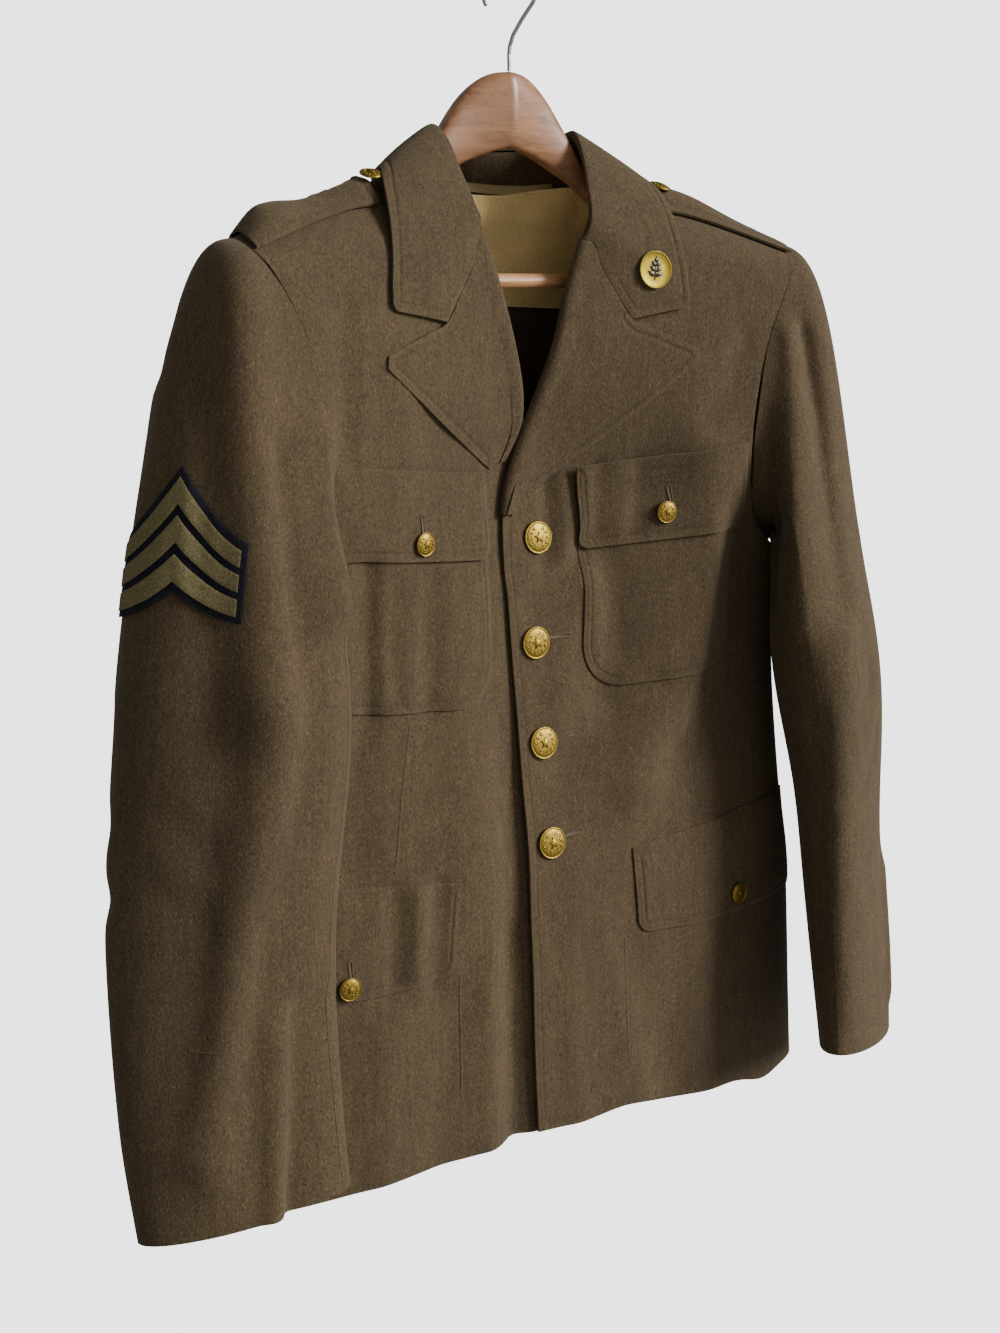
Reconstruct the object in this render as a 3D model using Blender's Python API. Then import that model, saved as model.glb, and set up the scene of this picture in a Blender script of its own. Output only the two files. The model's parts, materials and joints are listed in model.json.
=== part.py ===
"""Military dress tunic on a contoured wooden hanger, with every sewn piece as its own solid.

Garment frame: +X is the wearer's left, -Y is the front, Z = 0 is the level of the shoulder points and
Y = 0 is a plane just behind the front. HOOK_REST is the inside top of the hook in that frame, and the
finished object is moved so that this point is the world origin.
"""

import math
from collections import namedtuple

import bmesh
import bpy
import numpy as np

# ---------------------------------------------------------------- driving dimensions (metres)
CLOTH = 0.0020  # body cloth with its canvas
TRIM = 0.0018  # flaps, pockets and straps
BADGE = 0.0010  # felt of the chevrons
LINING = 0.0010
GAP = 0.0003  # between pieces that touch
ARMHOLE_GAP = 0.0011  # between a sleeve head and the coarser facets of the armhole
LAY_GAP = 0.0007  # between a flat facet of a panel and what is laid on it
LAP = 0.0034  # how far the right front sits behind the left one
LAP_REACH = 0.055  # distance over which that step fades out

HOOK_REST = (0.0, 0.050, 0.1885)

FRONT_COLUMNS = 13
BACK_COLUMNS = 12
NECK_COLUMNS = 5  # of those, how many steps make up the neckline
SLEEVE_SIDES = 24
DENSE = 96  # samples each way of the surfaces that pieces are laid on

FRONT_BUTTON_RADIUS = 0.0114
SMALL_BUTTON_RADIUS = 0.0080
BUTTON_RISE = 0.0042
BUTTON_SIDES = 12
FRONT_BUTTON_HEIGHTS = (-0.193, -0.267, -0.337, -0.407)
DISK_RADIUS = 0.0130
DISK_PLACE = (0.093, -0.012)

# ---------------------------------------------------------------- section tables
# One row for each section of a panel. x_in, y_in, z_in: its edge at the centre; x_out, y_out, z_out: its
# edge at the armhole or side seam; y_tip: where its flat stretch would end; round_side: how square the
# turn into the side seam is, 0 where there is none.
Section = namedtuple("Section", "x_in y_in z_in x_out y_out z_out y_tip round_side")

FRONT_SECTIONS = (
    Section(0.085, 0.054, 0.050, 0.2220, 0.028, 0.007, 0.028, 0.0),
    Section(0.062, 0.036, 0.034, 0.2205, 0.010, 0.001, 0.010, 0.0),
    Section(0.043, 0.023, 0.010, 0.2130, -0.003, -0.011, -0.003, 0.0),
    Section(0.030, 0.022, -0.024, 0.1990, -0.007, -0.034, -0.007, 0.0),
    Section(0.020, 0.021, -0.060, 0.1860, -0.008, -0.064, -0.008, 0.0),
    Section(0.008, 0.025, -0.095, 0.1770, -0.009, -0.096, -0.009, 0.0),
    Section(-0.006, 0.031, -0.132, 0.1730, -0.007, -0.130, -0.007, 0.0),
    Section(-0.018, 0.030, -0.168, 0.1780, -0.001, -0.162, -0.003, 0.6),
    Section(-0.022, 0.025, -0.198, 0.1930, 0.011, -0.190, -0.006, 0.8),
    Section(-0.022, 0.023, -0.219, 0.2130, 0.027, -0.211, -0.010, 1.0),
    Section(-0.020, 0.022, -0.235, 0.2320, 0.045, -0.224, -0.012, 1.0),
    Section(-0.017, 0.022, -0.270, 0.2340, 0.045, -0.265, -0.012, 1.0),
    Section(-0.016, 0.016, -0.320, 0.2370, 0.045, -0.318, -0.012, 1.0),
    Section(-0.016, 0.010, -0.365, 0.2420, 0.045, -0.365, -0.012, 1.0),
    Section(-0.015, 0.004, -0.410, 0.2480, 0.045, -0.410, -0.012, 1.0),
    Section(-0.015, 0.001, -0.455, 0.2550, 0.045, -0.455, -0.012, 1.0),
    Section(-0.013, 0.000, -0.505, 0.2600, 0.046, -0.505, -0.012, 1.0),
    Section(-0.012, -0.001, -0.560, 0.2640, 0.047, -0.562, -0.012, 1.0),
    Section(-0.010, -0.003, -0.620, 0.2690, 0.048, -0.631, -0.012, 1.0),
)

BACK_SECTIONS = (
    Section(0.0, 0.0710, 0.076, 0.2220, 0.028, 0.007, 0.028, 0.0),
    Section(0.0, 0.0980, 0.030, 0.2215, 0.044, 0.002, 0.044, 0.0),
    Section(0.0, 0.1010, 0.008, 0.2170, 0.057, -0.012, 0.057, 0.0),
    Section(0.0, 0.1020, -0.030, 0.2040, 0.068, -0.040, 0.068, 0.0),
    Section(0.0, 0.1020, -0.076, 0.1920, 0.076, -0.080, 0.076, 0.0),
    Section(0.0, 0.1010, -0.122, 0.1860, 0.079, -0.122, 0.079, 0.0),
    Section(0.0, 0.0990, -0.160, 0.1870, 0.078, -0.160, 0.080, 0.6),
    Section(0.0, 0.0975, -0.190, 0.1980, 0.070, -0.190, 0.083, 0.8),
    Section(0.0, 0.0965, -0.212, 0.2140, 0.058, -0.211, 0.088, 1.0),
    Section(0.0, 0.0960, -0.235, 0.2320, 0.045, -0.224, 0.092, 1.0),
    Section(0.0, 0.0950, -0.270, 0.2340, 0.045, -0.265, 0.092, 1.0),
    Section(0.0, 0.0930, -0.320, 0.2370, 0.045, -0.318, 0.091, 1.0),
    Section(0.0, 0.0910, -0.365, 0.2420, 0.045, -0.365, 0.090, 1.0),
    Section(0.0, 0.0895, -0.410, 0.2480, 0.045, -0.410, 0.089, 1.0),
    Section(0.0, 0.0890, -0.455, 0.2550, 0.045, -0.455, 0.089, 1.0),
    Section(0.0, 0.0890, -0.505, 0.2600, 0.046, -0.505, 0.090, 1.0),
    Section(0.0, 0.0900, -0.560, 0.2640, 0.047, -0.562, 0.091, 1.0),
    Section(0.0, 0.0910, -0.624, 0.2690, 0.048, -0.631, 0.092, 1.0),
)
ARMHOLE_ROWS = 10  # sections of a front above the underarm
BACK_ARMHOLE_ROWS = 9
NECK_SHARE = 0.383  # share of the top back section that is neckline
NECK_DROP = (0.0, 0.027, -0.036)  # how far the neckline falls from the shoulder ridge at centre back
NECK_FADE = (1.0, 0.12, 0.0)
SIDE_SQUARENESS = 2.5
CENTRE_SOFTNESS = 0.03  # how far from the centre line the front starts to slope
RIDGE_BOW = 0.003  # how far the shoulder rises between the neck and the armhole
RIDGE_FADE = (1.0, 0.85, 0.5, 0.2, 0.0)

# One row for each ring of a sleeve. height: its level; centre_x, centre_y: its middle; half_width and
# half_depth: of its oval; turn: degrees that the oval is turned from the X axis, for each arm.
Ring = namedtuple("Ring", "height centre_x centre_y half_width half_depth turn_left turn_right")
SLEEVE_RINGS = (
    Ring(-0.235, 0.2450, -0.006, 0.0700, 0.033, 36.0, 24.0),
    Ring(-0.285, 0.2480, -0.010, 0.0745, 0.041, 38.0, 20.0),
    Ring(-0.340, 0.2550, -0.014, 0.0750, 0.039, 40.0, 18.0),
    Ring(-0.395, 0.2630, -0.015, 0.0735, 0.032, 40.0, 16.0),
    Ring(-0.450, 0.2650, -0.018, 0.0725, 0.029, 38.0, 15.0),
    Ring(-0.505, 0.2670, -0.026, 0.0720, 0.028, 36.0, 14.0),
    Ring(-0.555, 0.2670, -0.034, 0.0710, 0.026, 34.0, 13.0),
    Ring(-0.594, 0.2650, -0.041, 0.0690, 0.023, 33.0, 12.0),
)
SLEEVE_ROWS = 13  # rings that are made from the table
CAP_STEPS = 7  # rings between the armhole and the first ring of the table
CAP_LEAVE = (0.064, 0.116)  # how far it carries on from the armhole before it falls, and how much more on top
CAP_LIFT = 1.5  # how much the sleeve head rises there
CAP_LAND = 0.200  # how straight it falls into the first ring
CAP_TWIST = 20.0  # degrees that the sleeve is pitched forward in the armhole
FOLD_RANGE = (0.30, 0.75)  # where the sleeve starts to fold back over the panels, towards the underarm
BODY_CLEARANCE = 0.0042  # between the sleeve's outer face and the panels beside it
CUFF_TILT = 0.008  # how much lower the back of the cuff hangs
UNDER_SLEEVE_SHARE = 0.42  # share of the girth that the under sleeve has

# Lapel rows from the gorge to the bottom of the V: the height on the roll line, and the lapel's outer edge
# as its distance from the centre line and its height.
LapelRow = namedtuple("LapelRow", "roll_height edge_across edge_height")
LAPEL_ROWS = (
    LapelRow(0.006, 0.1300, -0.0660),
    LapelRow(-0.012, 0.1310, -0.0740),
    LapelRow(-0.036, 0.1180, -0.0845),
    LapelRow(-0.060, 0.1000, -0.0980),
    LapelRow(-0.087, 0.0790, -0.1135),
    LapelRow(-0.114, 0.0560, -0.1290),
    LapelRow(-0.139, 0.0330, -0.1440),
    LapelRow(-0.159, 0.0100, -0.1600),
    LapelRow(-0.177, -0.0120, -0.1775),
)
NOTCH = (0.0770, -0.0460)
NOTCH_FADE = 4.5  # rows over which the lapel's lines straighten below the notch
NOTCH_SHARE = 3 / 7  # share of the lapel's top edge that is the gorge seam
UNDER_LAPEL_ROWS = 7  # the right lapel ends where the left front covers it
UNDER_LAPEL_REACH = 0.0080  # and keeps this far from the left lapel's roll

# Collar rows from the gorge to the centre back: the share of the neck seam, the fold at the top and the
# leaf's edge.
CollarRow = namedtuple("CollarRow", "neck_share fold edge")
COLLAR_ROWS = (
    CollarRow(0.00, (0.0430, 0.0160, 0.0085), (0.1215, 0.0030, -0.0385)),
    CollarRow(0.03, (0.0465, 0.0180, 0.0260), (0.1220, 0.0040, -0.0240)),
    CollarRow(0.11, (0.0520, 0.0290, 0.0500), (0.1195, 0.0070, -0.0020)),
    CollarRow(0.22, (0.0548, 0.0410, 0.0720), (0.1170, 0.0140, 0.0200)),
    CollarRow(0.32, (0.0580, 0.0540, 0.0830), (0.1130, 0.0280, 0.0430)),
    CollarRow(0.40, (0.0580, 0.0680, 0.0810), (0.1040, 0.0490, 0.0540)),
    CollarRow(0.48, (0.0510, 0.0830, 0.0790), (0.0920, 0.0790, 0.0470)),
    CollarRow(0.63, (0.0380, 0.0950, 0.0770), (0.0700, 0.1010, 0.0350)),
    CollarRow(0.81, (0.0200, 0.1020, 0.0760), (0.0380, 0.1120, 0.0290)),
    CollarRow(1.00, (0.0000, 0.1045, 0.0755), (0.0000, 0.1150, 0.0280)),
)

# How a turned-back edge wraps the panel: distance out from the roll line, and lift off the panel.
RollStep = namedtuple("RollStep", "out lift")
ROLL_PROFILE = (
    RollStep(-0.0028, -0.0012),
    RollStep(-0.0036, 0.0012),
    RollStep(-0.0022, 0.0036),
    RollStep(0.0015, 0.0052),
    RollStep(0.0080, 0.0048),
)
LAPEL_COLUMNS = 7
LAPEL_LIFT = 0.0030
LAPEL_SPRING = 0.0015  # how much further a lapel stands off the front near its roll
LAPEL_FULL_ROLL = 0.02  # width under which its roll is drawn in
LEAF_COLUMNS = 7
LEAF_NOTCH_SHARE = 4 / 7
LEAF_POINT = (0.1235, -0.0385)
LEAF_BOW = 0.001
LEAF_INWARD = 1.35  # how much further the leaf's end stands inside the neckline than a lapel's roll
LEAF_CLEARANCE = 0.0036
GORGE_GAP = 0.0015
GORGE_ROW = 2  # the front's section at which the gorge seam meets the neckline
FOLD_RADIUS = 0.0029
FOLD_INSET = 0.75  # how far inside the fold line the roll's middle lies, in radii
FOLD_ANGLES = (0, 45, 90, 135)
COLLAR_STEPS = 17  # rows that are made from the table
STAND_FROM = 4  # of which the stand starts at this one
STAND_SEAM = 0.0010
STAND_TOP = 0.0014
DISK_LIFT = 0.0008

# Patches on a front: the distances from the centre line and the heights of their corners, the radius of
# the two lower corners, and how far the lower edge bows down.
Patch = namedtuple("Patch", "in_top out_top in_bottom out_bottom radius bow")
CHEST_POCKET = Patch((0.0420, -0.152), (0.1740, -0.142), (0.0390, -0.3050), (0.1760, -0.2960), 0.030, 0.002)
CHEST_FLAP = Patch((0.0450, -0.147), (0.1745, -0.133), (0.0430, -0.2060), (0.1780, -0.1930), 0.009, 0.001)
LOWER_FLAP = Patch((0.0750, -0.423), (0.2420, -0.405), (0.0800, -0.4880), (0.2600, -0.4840), 0.011, 0.004)
CHEST_BUTTON = (0.1060, -0.186)
LOWER_BUTTON = (0.1720, -0.476)

# Shoulder strap rows from the armhole to the neck end: the place along the shoulder, how far the strap's
# middle lies in front of the ridge, half its width, and how far it bulges off each shoulder.
StrapRow = namedtuple("StrapRow", "along middle half_width rise_left rise_right")
STRAP_ROWS = (
    StrapRow(0.990, 0.0020, 0.0225, 0.0002, 0.0004),
    StrapRow(0.920, 0.0020, 0.0220, 0.0003, 0.0055),
    StrapRow(0.840, 0.0015, 0.0215, 0.0005, 0.0090),
    StrapRow(0.740, 0.0010, 0.0210, 0.0010, 0.0070),
    StrapRow(0.620, 0.0005, 0.0205, 0.0025, 0.0020),
    StrapRow(0.500, 0.0005, 0.0200, 0.0045, 0.0008),
    StrapRow(0.380, 0.0015, 0.0190, 0.0055, 0.0020),
    StrapRow(0.300, 0.0035, 0.0185, 0.0050, 0.0035),
    StrapRow(0.230, 0.0055, 0.0175, 0.0040, 0.0035),
)
STRAP_BUTTON_ALONG = 0.265
STRAP_COLUMNS = 7
STRAP_LIFT = 0.0034
STRAP_SLANT = 0.05  # how much nearer the neck its back corner at the armhole is

# Chevrons: three bars on a dark backing, on the outer face of each upper sleeve.
CHEVRON_MIDDLE = {1: -66.0, -1: 10.0}  # degrees round each sleeve from its outer line, towards the front
CHEVRON_PEAK = -0.134
CHEVRON_HALF_WIDTH = 0.0385
CHEVRON_DROP = 0.043  # how far a bar's ends lie below its peak
CHEVRON_ARCH = 0.42  # share of that fall which bends: the rest is straight
CHEVRON_COLUMNS = 15
CHEVRON_LAY = {1: 0.0018, -1: 0.0012}  # how far the backing stands off each sleeve
BAR_WIDTH = 0.0086
BAR_STEP = 0.0121
BACKING_MARGIN = 0.0034
STRIPE = 0.0008

# Hanger: half-length stations with the arm's top, bottom, middle depth and half thickness.
Station = namedtuple("Station", "along top bottom middle half_depth")
HANGER_STATIONS = (
    Station(0.000, 0.1185, 0.0690, 0.0505, 0.0085),
    Station(0.012, 0.1170, 0.0660, 0.0508, 0.0085),
    Station(0.024, 0.1110, 0.0620, 0.0515, 0.0085),
    Station(0.037, 0.0990, 0.0565, 0.0525, 0.0085),
    Station(0.050, 0.0810, 0.0500, 0.0535, 0.0080),
    Station(0.060, 0.0655, 0.0440, 0.0540, 0.0076),
    Station(0.070, 0.0478, 0.0355, 0.0545, 0.0074),
    Station(0.085, 0.0352, 0.0245, 0.0532, 0.0078),
    Station(0.110, 0.0345, 0.0145, 0.0493, 0.0100),
    Station(0.140, 0.0270, 0.0040, 0.0436, 0.0115),
    Station(0.1780, 0.0155, -0.0100, 0.0385, 0.0130),
    Station(0.1784, 0.0153, -0.0280, 0.0384, 0.0130),
    Station(0.200, 0.0080, -0.0290, 0.0350, 0.0120),
    Station(0.206, 0.0000, -0.0240, 0.0345, 0.0080),
)
HANGER_SIDES = 16
BAR_RADIUS = 0.0050
BAR_HALF_LENGTH = 0.1776
BAR_CENTRE = (0.040, -0.0195)
HOOK_WIRE = 0.0016
HOOK_BEND = 0.0190  # radius of the wire's middle line
HOOK_TURN = 35.0  # degrees between the hook's plane and straight ahead

# Inside the neck: how many of the back's columns and sections the yoke lining covers.
YOKE_COLUMNS = 7
YOKE_ROWS = 4
YOKE_LAST = 0.12  # how far the lining reaches into the last of those rows
YOKE_SEAM = (0.0030, 0.0170)  # how far it starts below the neckline and below the shoulder
YOKE_GAP = 0.0008
# The hanging loop from end to end: its place across and behind the centre line, and the height of its top.
LoopRow = namedtuple("LoopRow", "x y top")
LOOP_ROWS = (
    LoopRow(-0.018, 0.0946, 0.0490),
    LoopRow(0.000, 0.0930, 0.0474),
    LoopRow(0.020, 0.0890, 0.0460),
    LoopRow(0.040, 0.0840, 0.0462),
    LoopRow(0.058, 0.0795, 0.0480),
)
LOOP_HEIGHT = 0.0065

# ---------------------------------------------------------------- materials
Finish = namedtuple("Finish", "color roughness metallic")
FINISHES = {
    "wool": Finish((0.085, 0.062, 0.036, 1.0), 0.95, 0.0),
    "felt_navy": Finish((0.004, 0.004, 0.012, 1.0), 0.9, 0.0),
    "felt_olive": Finish((0.17, 0.14, 0.055, 1.0), 0.9, 0.0),
    "gilt": Finish((0.70, 0.45, 0.12, 1.0), 0.3, 1.0),
    "sateen": Finish((0.30, 0.21, 0.075, 1.0), 0.6, 0.0),
    "hanger_wood": Finish((0.42, 0.22, 0.12, 1.0), 0.4, 0.0),
    "bar_wood": Finish((0.66, 0.37, 0.20, 1.0), 0.45, 0.0),
    "steel": Finish((0.60, 0.60, 0.60, 1.0), 0.3, 1.0),
}


def make_material(name):
    finish = FINISHES[name]
    material = bpy.data.materials.new(name)
    material.use_nodes = True
    shader = material.node_tree.nodes["Principled BSDF"]
    shader.inputs["Base Color"].default_value = finish.color
    shader.inputs["Roughness"].default_value = finish.roughness
    shader.inputs["Metallic"].default_value = finish.metallic
    return material


# ---------------------------------------------------------------- curves and surfaces
def unit(vectors):
    vectors = np.asarray(vectors, float)
    lengths = np.linalg.norm(vectors, axis=-1, keepdims=True)
    return vectors / np.maximum(lengths, 1e-12)


def through(rows, places):
    """A smooth curve through the rows, read at fractional row numbers."""
    rows = np.asarray(rows, float)
    last = len(rows) - 1
    padded = np.vstack([2 * rows[:1] - rows[1:2], rows, 2 * rows[-1:] - rows[-2:-1]])
    start = np.clip(np.floor(places).astype(int), 0, last - 1)
    t = (np.asarray(places, float) - start)[:, None]
    before, here, after, later = (padded[start + k] for k in range(4))
    slope_here = (after - before) / 2
    slope_after = (later - here) / 2
    return (
        (2 * t**3 - 3 * t**2 + 1) * here
        + (t**3 - 2 * t**2 + t) * slope_here
        + (3 * t**2 - 2 * t**3) * after
        + (t**3 - t**2) * slope_after
    )


def grid_normals(grid, closed=False):
    """Unit normals of a grid of points, by differences along its rows and columns."""
    down = np.gradient(grid, axis=0)
    if closed:
        across = (np.roll(grid, -1, axis=1) - np.roll(grid, 1, axis=1)) / 2
    else:
        across = np.gradient(grid, axis=1)
    return unit(np.cross(across, down))


def step_in(grid, side, distance):
    """Moves one edge line of a grid towards the next line by a distance."""
    pairs = {
        "top": (np.s_[0, :], np.s_[1, :]),
        "bottom": (np.s_[-1, :], np.s_[-2, :]),
        "first": (np.s_[:, 0], np.s_[:, 1]),
        "last": (np.s_[:, -1], np.s_[:, -2]),
    }
    edge, inner = pairs[side]
    grid[edge] = grid[edge] + unit(grid[inner] - grid[edge]) * distance
    return grid


def mirrored(grid, side):
    return grid * np.array([side, 1.0, 1.0])


# ---------------------------------------------------------------- objects
def start_scene():
    for item in list(bpy.data.objects):
        bpy.data.objects.remove(item, do_unlink=True)
    collection = bpy.data.collections.new("military_dress_tunic")
    bpy.context.scene.collection.children.link(collection)
    frame = bpy.data.objects.new("garment_frame", None)
    frame.location = [-value for value in HOOK_REST]
    collection.objects.link(frame)
    return collection, frame


class Workshop:
    """Adds named objects to the collection, each with its material, under the garment frame."""

    def __init__(self):
        self.collection, self.frame = start_scene()
        self.materials = {name: make_material(name) for name in FINISHES}

    def add(self, name, data, finish, smooth=True):
        item = bpy.data.objects.new(name, data)
        item.parent = self.frame
        self.collection.objects.link(item)
        data.materials.append(self.materials[finish])
        if smooth and item.type == "MESH":
            data.shade_smooth()
            data.set_sharp_from_angle(angle=math.radians(40))
        return item

    def add_mesh(self, name, mesh, finish):
        bmesh.ops.recalc_face_normals(mesh, faces=mesh.faces)
        data = bpy.data.meshes.new(name)
        mesh.to_mesh(data)
        mesh.free()
        return self.add(name, data, finish)

    def wall(self, name, outer, normals, thickness, finish, closed=False):
        """A closed cloth wall: the outer grid, the same grid moved in, and the edges between them."""
        outer = np.asarray(outer)
        rows, columns = outer.shape[:2]
        layers = [outer, outer - normals * thickness]
        mesh = bmesh.new()
        ids = [
            [[mesh.verts.new(point) for point in row] for row in layer]
            for layer in layers
        ]
        steps = range(columns if closed else columns - 1)
        for layer in ids:
            for r in range(rows - 1):
                for c in steps:
                    d = (c + 1) % columns
                    mesh.faces.new((layer[r][c], layer[r][d], layer[r + 1][d], layer[r + 1][c]))
        top, under = ids
        for r in (0, rows - 1):
            for c in steps:
                d = (c + 1) % columns
                mesh.faces.new((top[r][c], top[r][d], under[r][d], under[r][c]))
        if not closed:
            for c in (0, columns - 1):
                for r in range(rows - 1):
                    mesh.faces.new((top[r][c], top[r + 1][c], under[r + 1][c], under[r][c]))
        return self.add_mesh(name, mesh, finish)


# ---------------------------------------------------------------- body panels
def panel_section(section, shares):
    """The points of one section of a panel, at shares of the way from the centre to its outer edge."""
    x = section.x_in + (section.x_out - section.x_in) * shares
    z = section.z_in + (section.z_out - section.z_in) * shares
    from_centre, at_centre, at_tip = (
        np.hypot(value, CENTRE_SOFTNESS) for value in (x, section.x_in, section.x_out)
    )
    flat_shares = (from_centre - at_centre) / (at_tip - at_centre)
    flat = section.y_in + (section.y_tip - section.y_in) * flat_shares
    turned = 1 - (1 - np.clip(shares, 0, 1) ** SIDE_SQUARENESS) ** (1 / SIDE_SQUARENESS)
    y = flat + (section.y_out - section.y_tip) * turned * section.round_side
    y = y + (section.y_out - section.y_tip) * (1 - section.round_side) * shares
    return np.stack([x, y, z], axis=-1)


def side_shares(count):
    """Shares from 0 to 1 that come closer together towards the outer edge."""
    return np.sin(np.linspace(0, 1, count) * math.pi / 2)


def panel_surface(sections, shares, places=None):
    if places is None:
        places = np.arange(len(sections))
    rows = through(sections, places)
    return np.stack([panel_section(Section(*row), shares) for row in rows])


def fade_over(values, places, count):
    return np.interp(np.arange(count) if places is None else places, range(len(values)), values)


def ridge_bow(grid, places):
    """The rise of the shoulder, which fades over the first sections of a panel."""
    start, end = FRONT_SECTIONS[0].x_in, FRONT_SECTIONS[0].x_out
    along = np.clip((grid[:, :, 0] - start) / (end - start), 0, 1)
    fade = fade_over(RIDGE_FADE, places, len(grid))
    return RIDGE_BOW * np.sin(math.pi * along) * fade[:, None]


def front_surface(side, shares, places=None):
    """A front's outer points. The right one steps back where the left one covers it."""
    grid = panel_surface(FRONT_SECTIONS, shares, places)
    grid[:, :, 2] += ridge_bow(grid, places)
    if side < 0:
        covered = np.clip((LAP_REACH - grid[:, :, 0]) / (LAP_REACH - 0.018), 0, 1)
        below_roll = np.clip((-0.06 - grid[:, :, 2]) / 0.05, 0, 1)
        grid[:, :, 1] += LAP * covered**2 * (3 - 2 * covered) * below_roll
    return grid


def back_surface(shares, places=None):
    """A back's outer points, with its top section bent down into the neckline."""
    grid = panel_surface(BACK_SECTIONS, shares, places)
    grid[:, :, 2] += ridge_bow(grid, places)
    fade = fade_over(NECK_FADE, places, len(grid))
    inside = np.clip(shares / NECK_SHARE, 0, 1)
    round_neck = np.sqrt(1 - inside**2)
    return grid + fade[:, None, None] * round_neck[None, :, None] * np.array(NECK_DROP)


def ridge_normal():
    along = unit(np.array([0.2220 - 0.085, 0.028 - 0.054, 0.007 - 0.050]))
    up = np.array([0.0, 0.0, 1.0])
    return unit(up - along * (up @ along))


def panel_normals(grid, outer_from, front):
    """Normals of a panel that agree with its neighbour's along the shoulder and the side seam."""
    normals = grid_normals(grid)
    normals *= np.sign(normals[len(grid) // 2, 1, 1]) * (-1 if front else 1)
    normals[outer_from:, -1] = (1.0, 0.0, 0.0)
    return normals


def make_fronts(shop):
    shares = side_shares(FRONT_COLUMNS)
    for side, name in ((1, "front_left"), (-1, "front_right")):
        grid = front_surface(side, shares)
        normals = panel_normals(grid, ARMHOLE_ROWS, True)
        normals[0] = ridge_normal()
        for edge in ("top", "last"):
            step_in(grid, edge, GAP / 2)
        shop.wall(name, mirrored(grid, side), mirrored(normals, side), CLOTH, "wool")


def back_shares():
    """Shares of a back's columns: those of the neckline come closer together towards the shoulder."""
    neck = NECK_SHARE * side_shares(NECK_COLUMNS + 1)
    rest = NECK_SHARE + (1 - NECK_SHARE) * side_shares(BACK_COLUMNS - NECK_COLUMNS)
    return np.concatenate([neck[:-1], rest])


def make_backs(shop):
    for side, name in ((1, "back_left"), (-1, "back_right")):
        grid = back_surface(back_shares())
        normals = panel_normals(grid, BACK_ARMHOLE_ROWS, False)
        normals[0, NECK_COLUMNS:] = ridge_normal()
        normals[:, 0] *= (0.0, 1.0, 1.0)
        normals = unit(normals)
        for edge in ("top", "first", "last"):
            step_in(grid, edge, GAP / 2)
        shop.wall(name, mirrored(grid, side), mirrored(normals, side), CLOTH, "wool")


# ---------------------------------------------------------------- sleeves
def resampled(edge, carried, count):
    """Evenly spaced points along an edge, with values that are carried along with it."""
    length = np.concatenate([[0], np.cumsum(np.linalg.norm(np.diff(edge, axis=0), axis=1))])
    place = np.interp(np.linspace(0, length[-1], count + 1), length, range(len(edge)))
    points = np.stack([np.interp(place, range(len(edge)), edge[:, k]) for k in range(3)], axis=1)
    return points, unit(through(carried, place))


def armhole_ring():
    """Points round the armhole, down the front and up the back, and the panel's normal at each."""
    front = front_surface(1, side_shares(FRONT_COLUMNS))
    back = back_surface(back_shares())
    half = SLEEVE_SIDES // 2
    halves = []
    for grid, last, is_front in ((front, ARMHOLE_ROWS, True), (back, BACK_ARMHOLE_ROWS, False)):
        normals = panel_normals(grid, last, is_front)
        normals[0] = ridge_normal()
        halves.append(resampled(grid[: last + 1, -1], normals[: last + 1, -1], half))
    (front_points, front_out), (back_points, back_out) = halves
    points = np.vstack([front_points, back_points[::-1][1:-1]])
    normals = np.vstack([front_out, back_out[::-1][1:-1]])
    along = unit(np.roll(points, -1, axis=0) - np.roll(points, 1, axis=0))
    return points, normals, unit(np.cross(normals, along))


def keep_clear(points, cover, clearance):
    """Moves points out to a clearance from a surface, where they are nearer to it or behind it.

    The cover holds the surface's points, its normals, and which of them aren't on a free edge.
    """
    flat, ways, inner = (part.reshape(-1, part.shape[-1]) for part in cover)
    moved = points.reshape(-1, 3).copy()
    for number, point in enumerate(moved):
        offsets = point - flat
        nearest = np.argmin((offsets**2).sum(axis=1))
        short = clearance - offsets[nearest] @ ways[nearest]
        if short > 0 and inner[nearest, 0]:
            moved[number] = point + ways[nearest] * short
    return moved.reshape(points.shape)


def body_cover(side):
    """Dense points of a front and the side of a back, for pieces that must clear them."""
    shares = side_shares(DENSE)
    parts = []
    for make, sections, underarm, facing_front in (
        (lambda where: front_surface(side, shares, where), FRONT_SECTIONS, ARMHOLE_ROWS, True),
        (lambda where: back_surface(shares, where), BACK_SECTIONS, BACK_ARMHOLE_ROWS, False),
    ):
        places = np.linspace(0, len(sections) - 1, DENSE)
        grid = make(places)
        ways = grid_normals(grid)
        ways *= np.sign(ways[DENSE // 2, 1, 1]) * (-1 if facing_front else 1)
        inner = np.ones((DENSE, DENSE, 1), bool)
        inner[:, 0] = False
        inner[places < underarm, -1] = False
        parts.append((grid, ways, inner))
    return [np.concatenate(both) for both in zip(*parts)]


def relaxed(grid):
    """A closed tube of rings with its inner rings drawn towards the mean of their neighbours."""
    around = (np.roll(grid, 1, axis=1) + np.roll(grid, -1, axis=1)) / 2
    along = (grid[:-2] + grid[2:]) / 2
    grid[1:-1] = 0.62 * grid[1:-1] + 0.3 * along + 0.08 * around[1:-1]
    return grid


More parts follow.
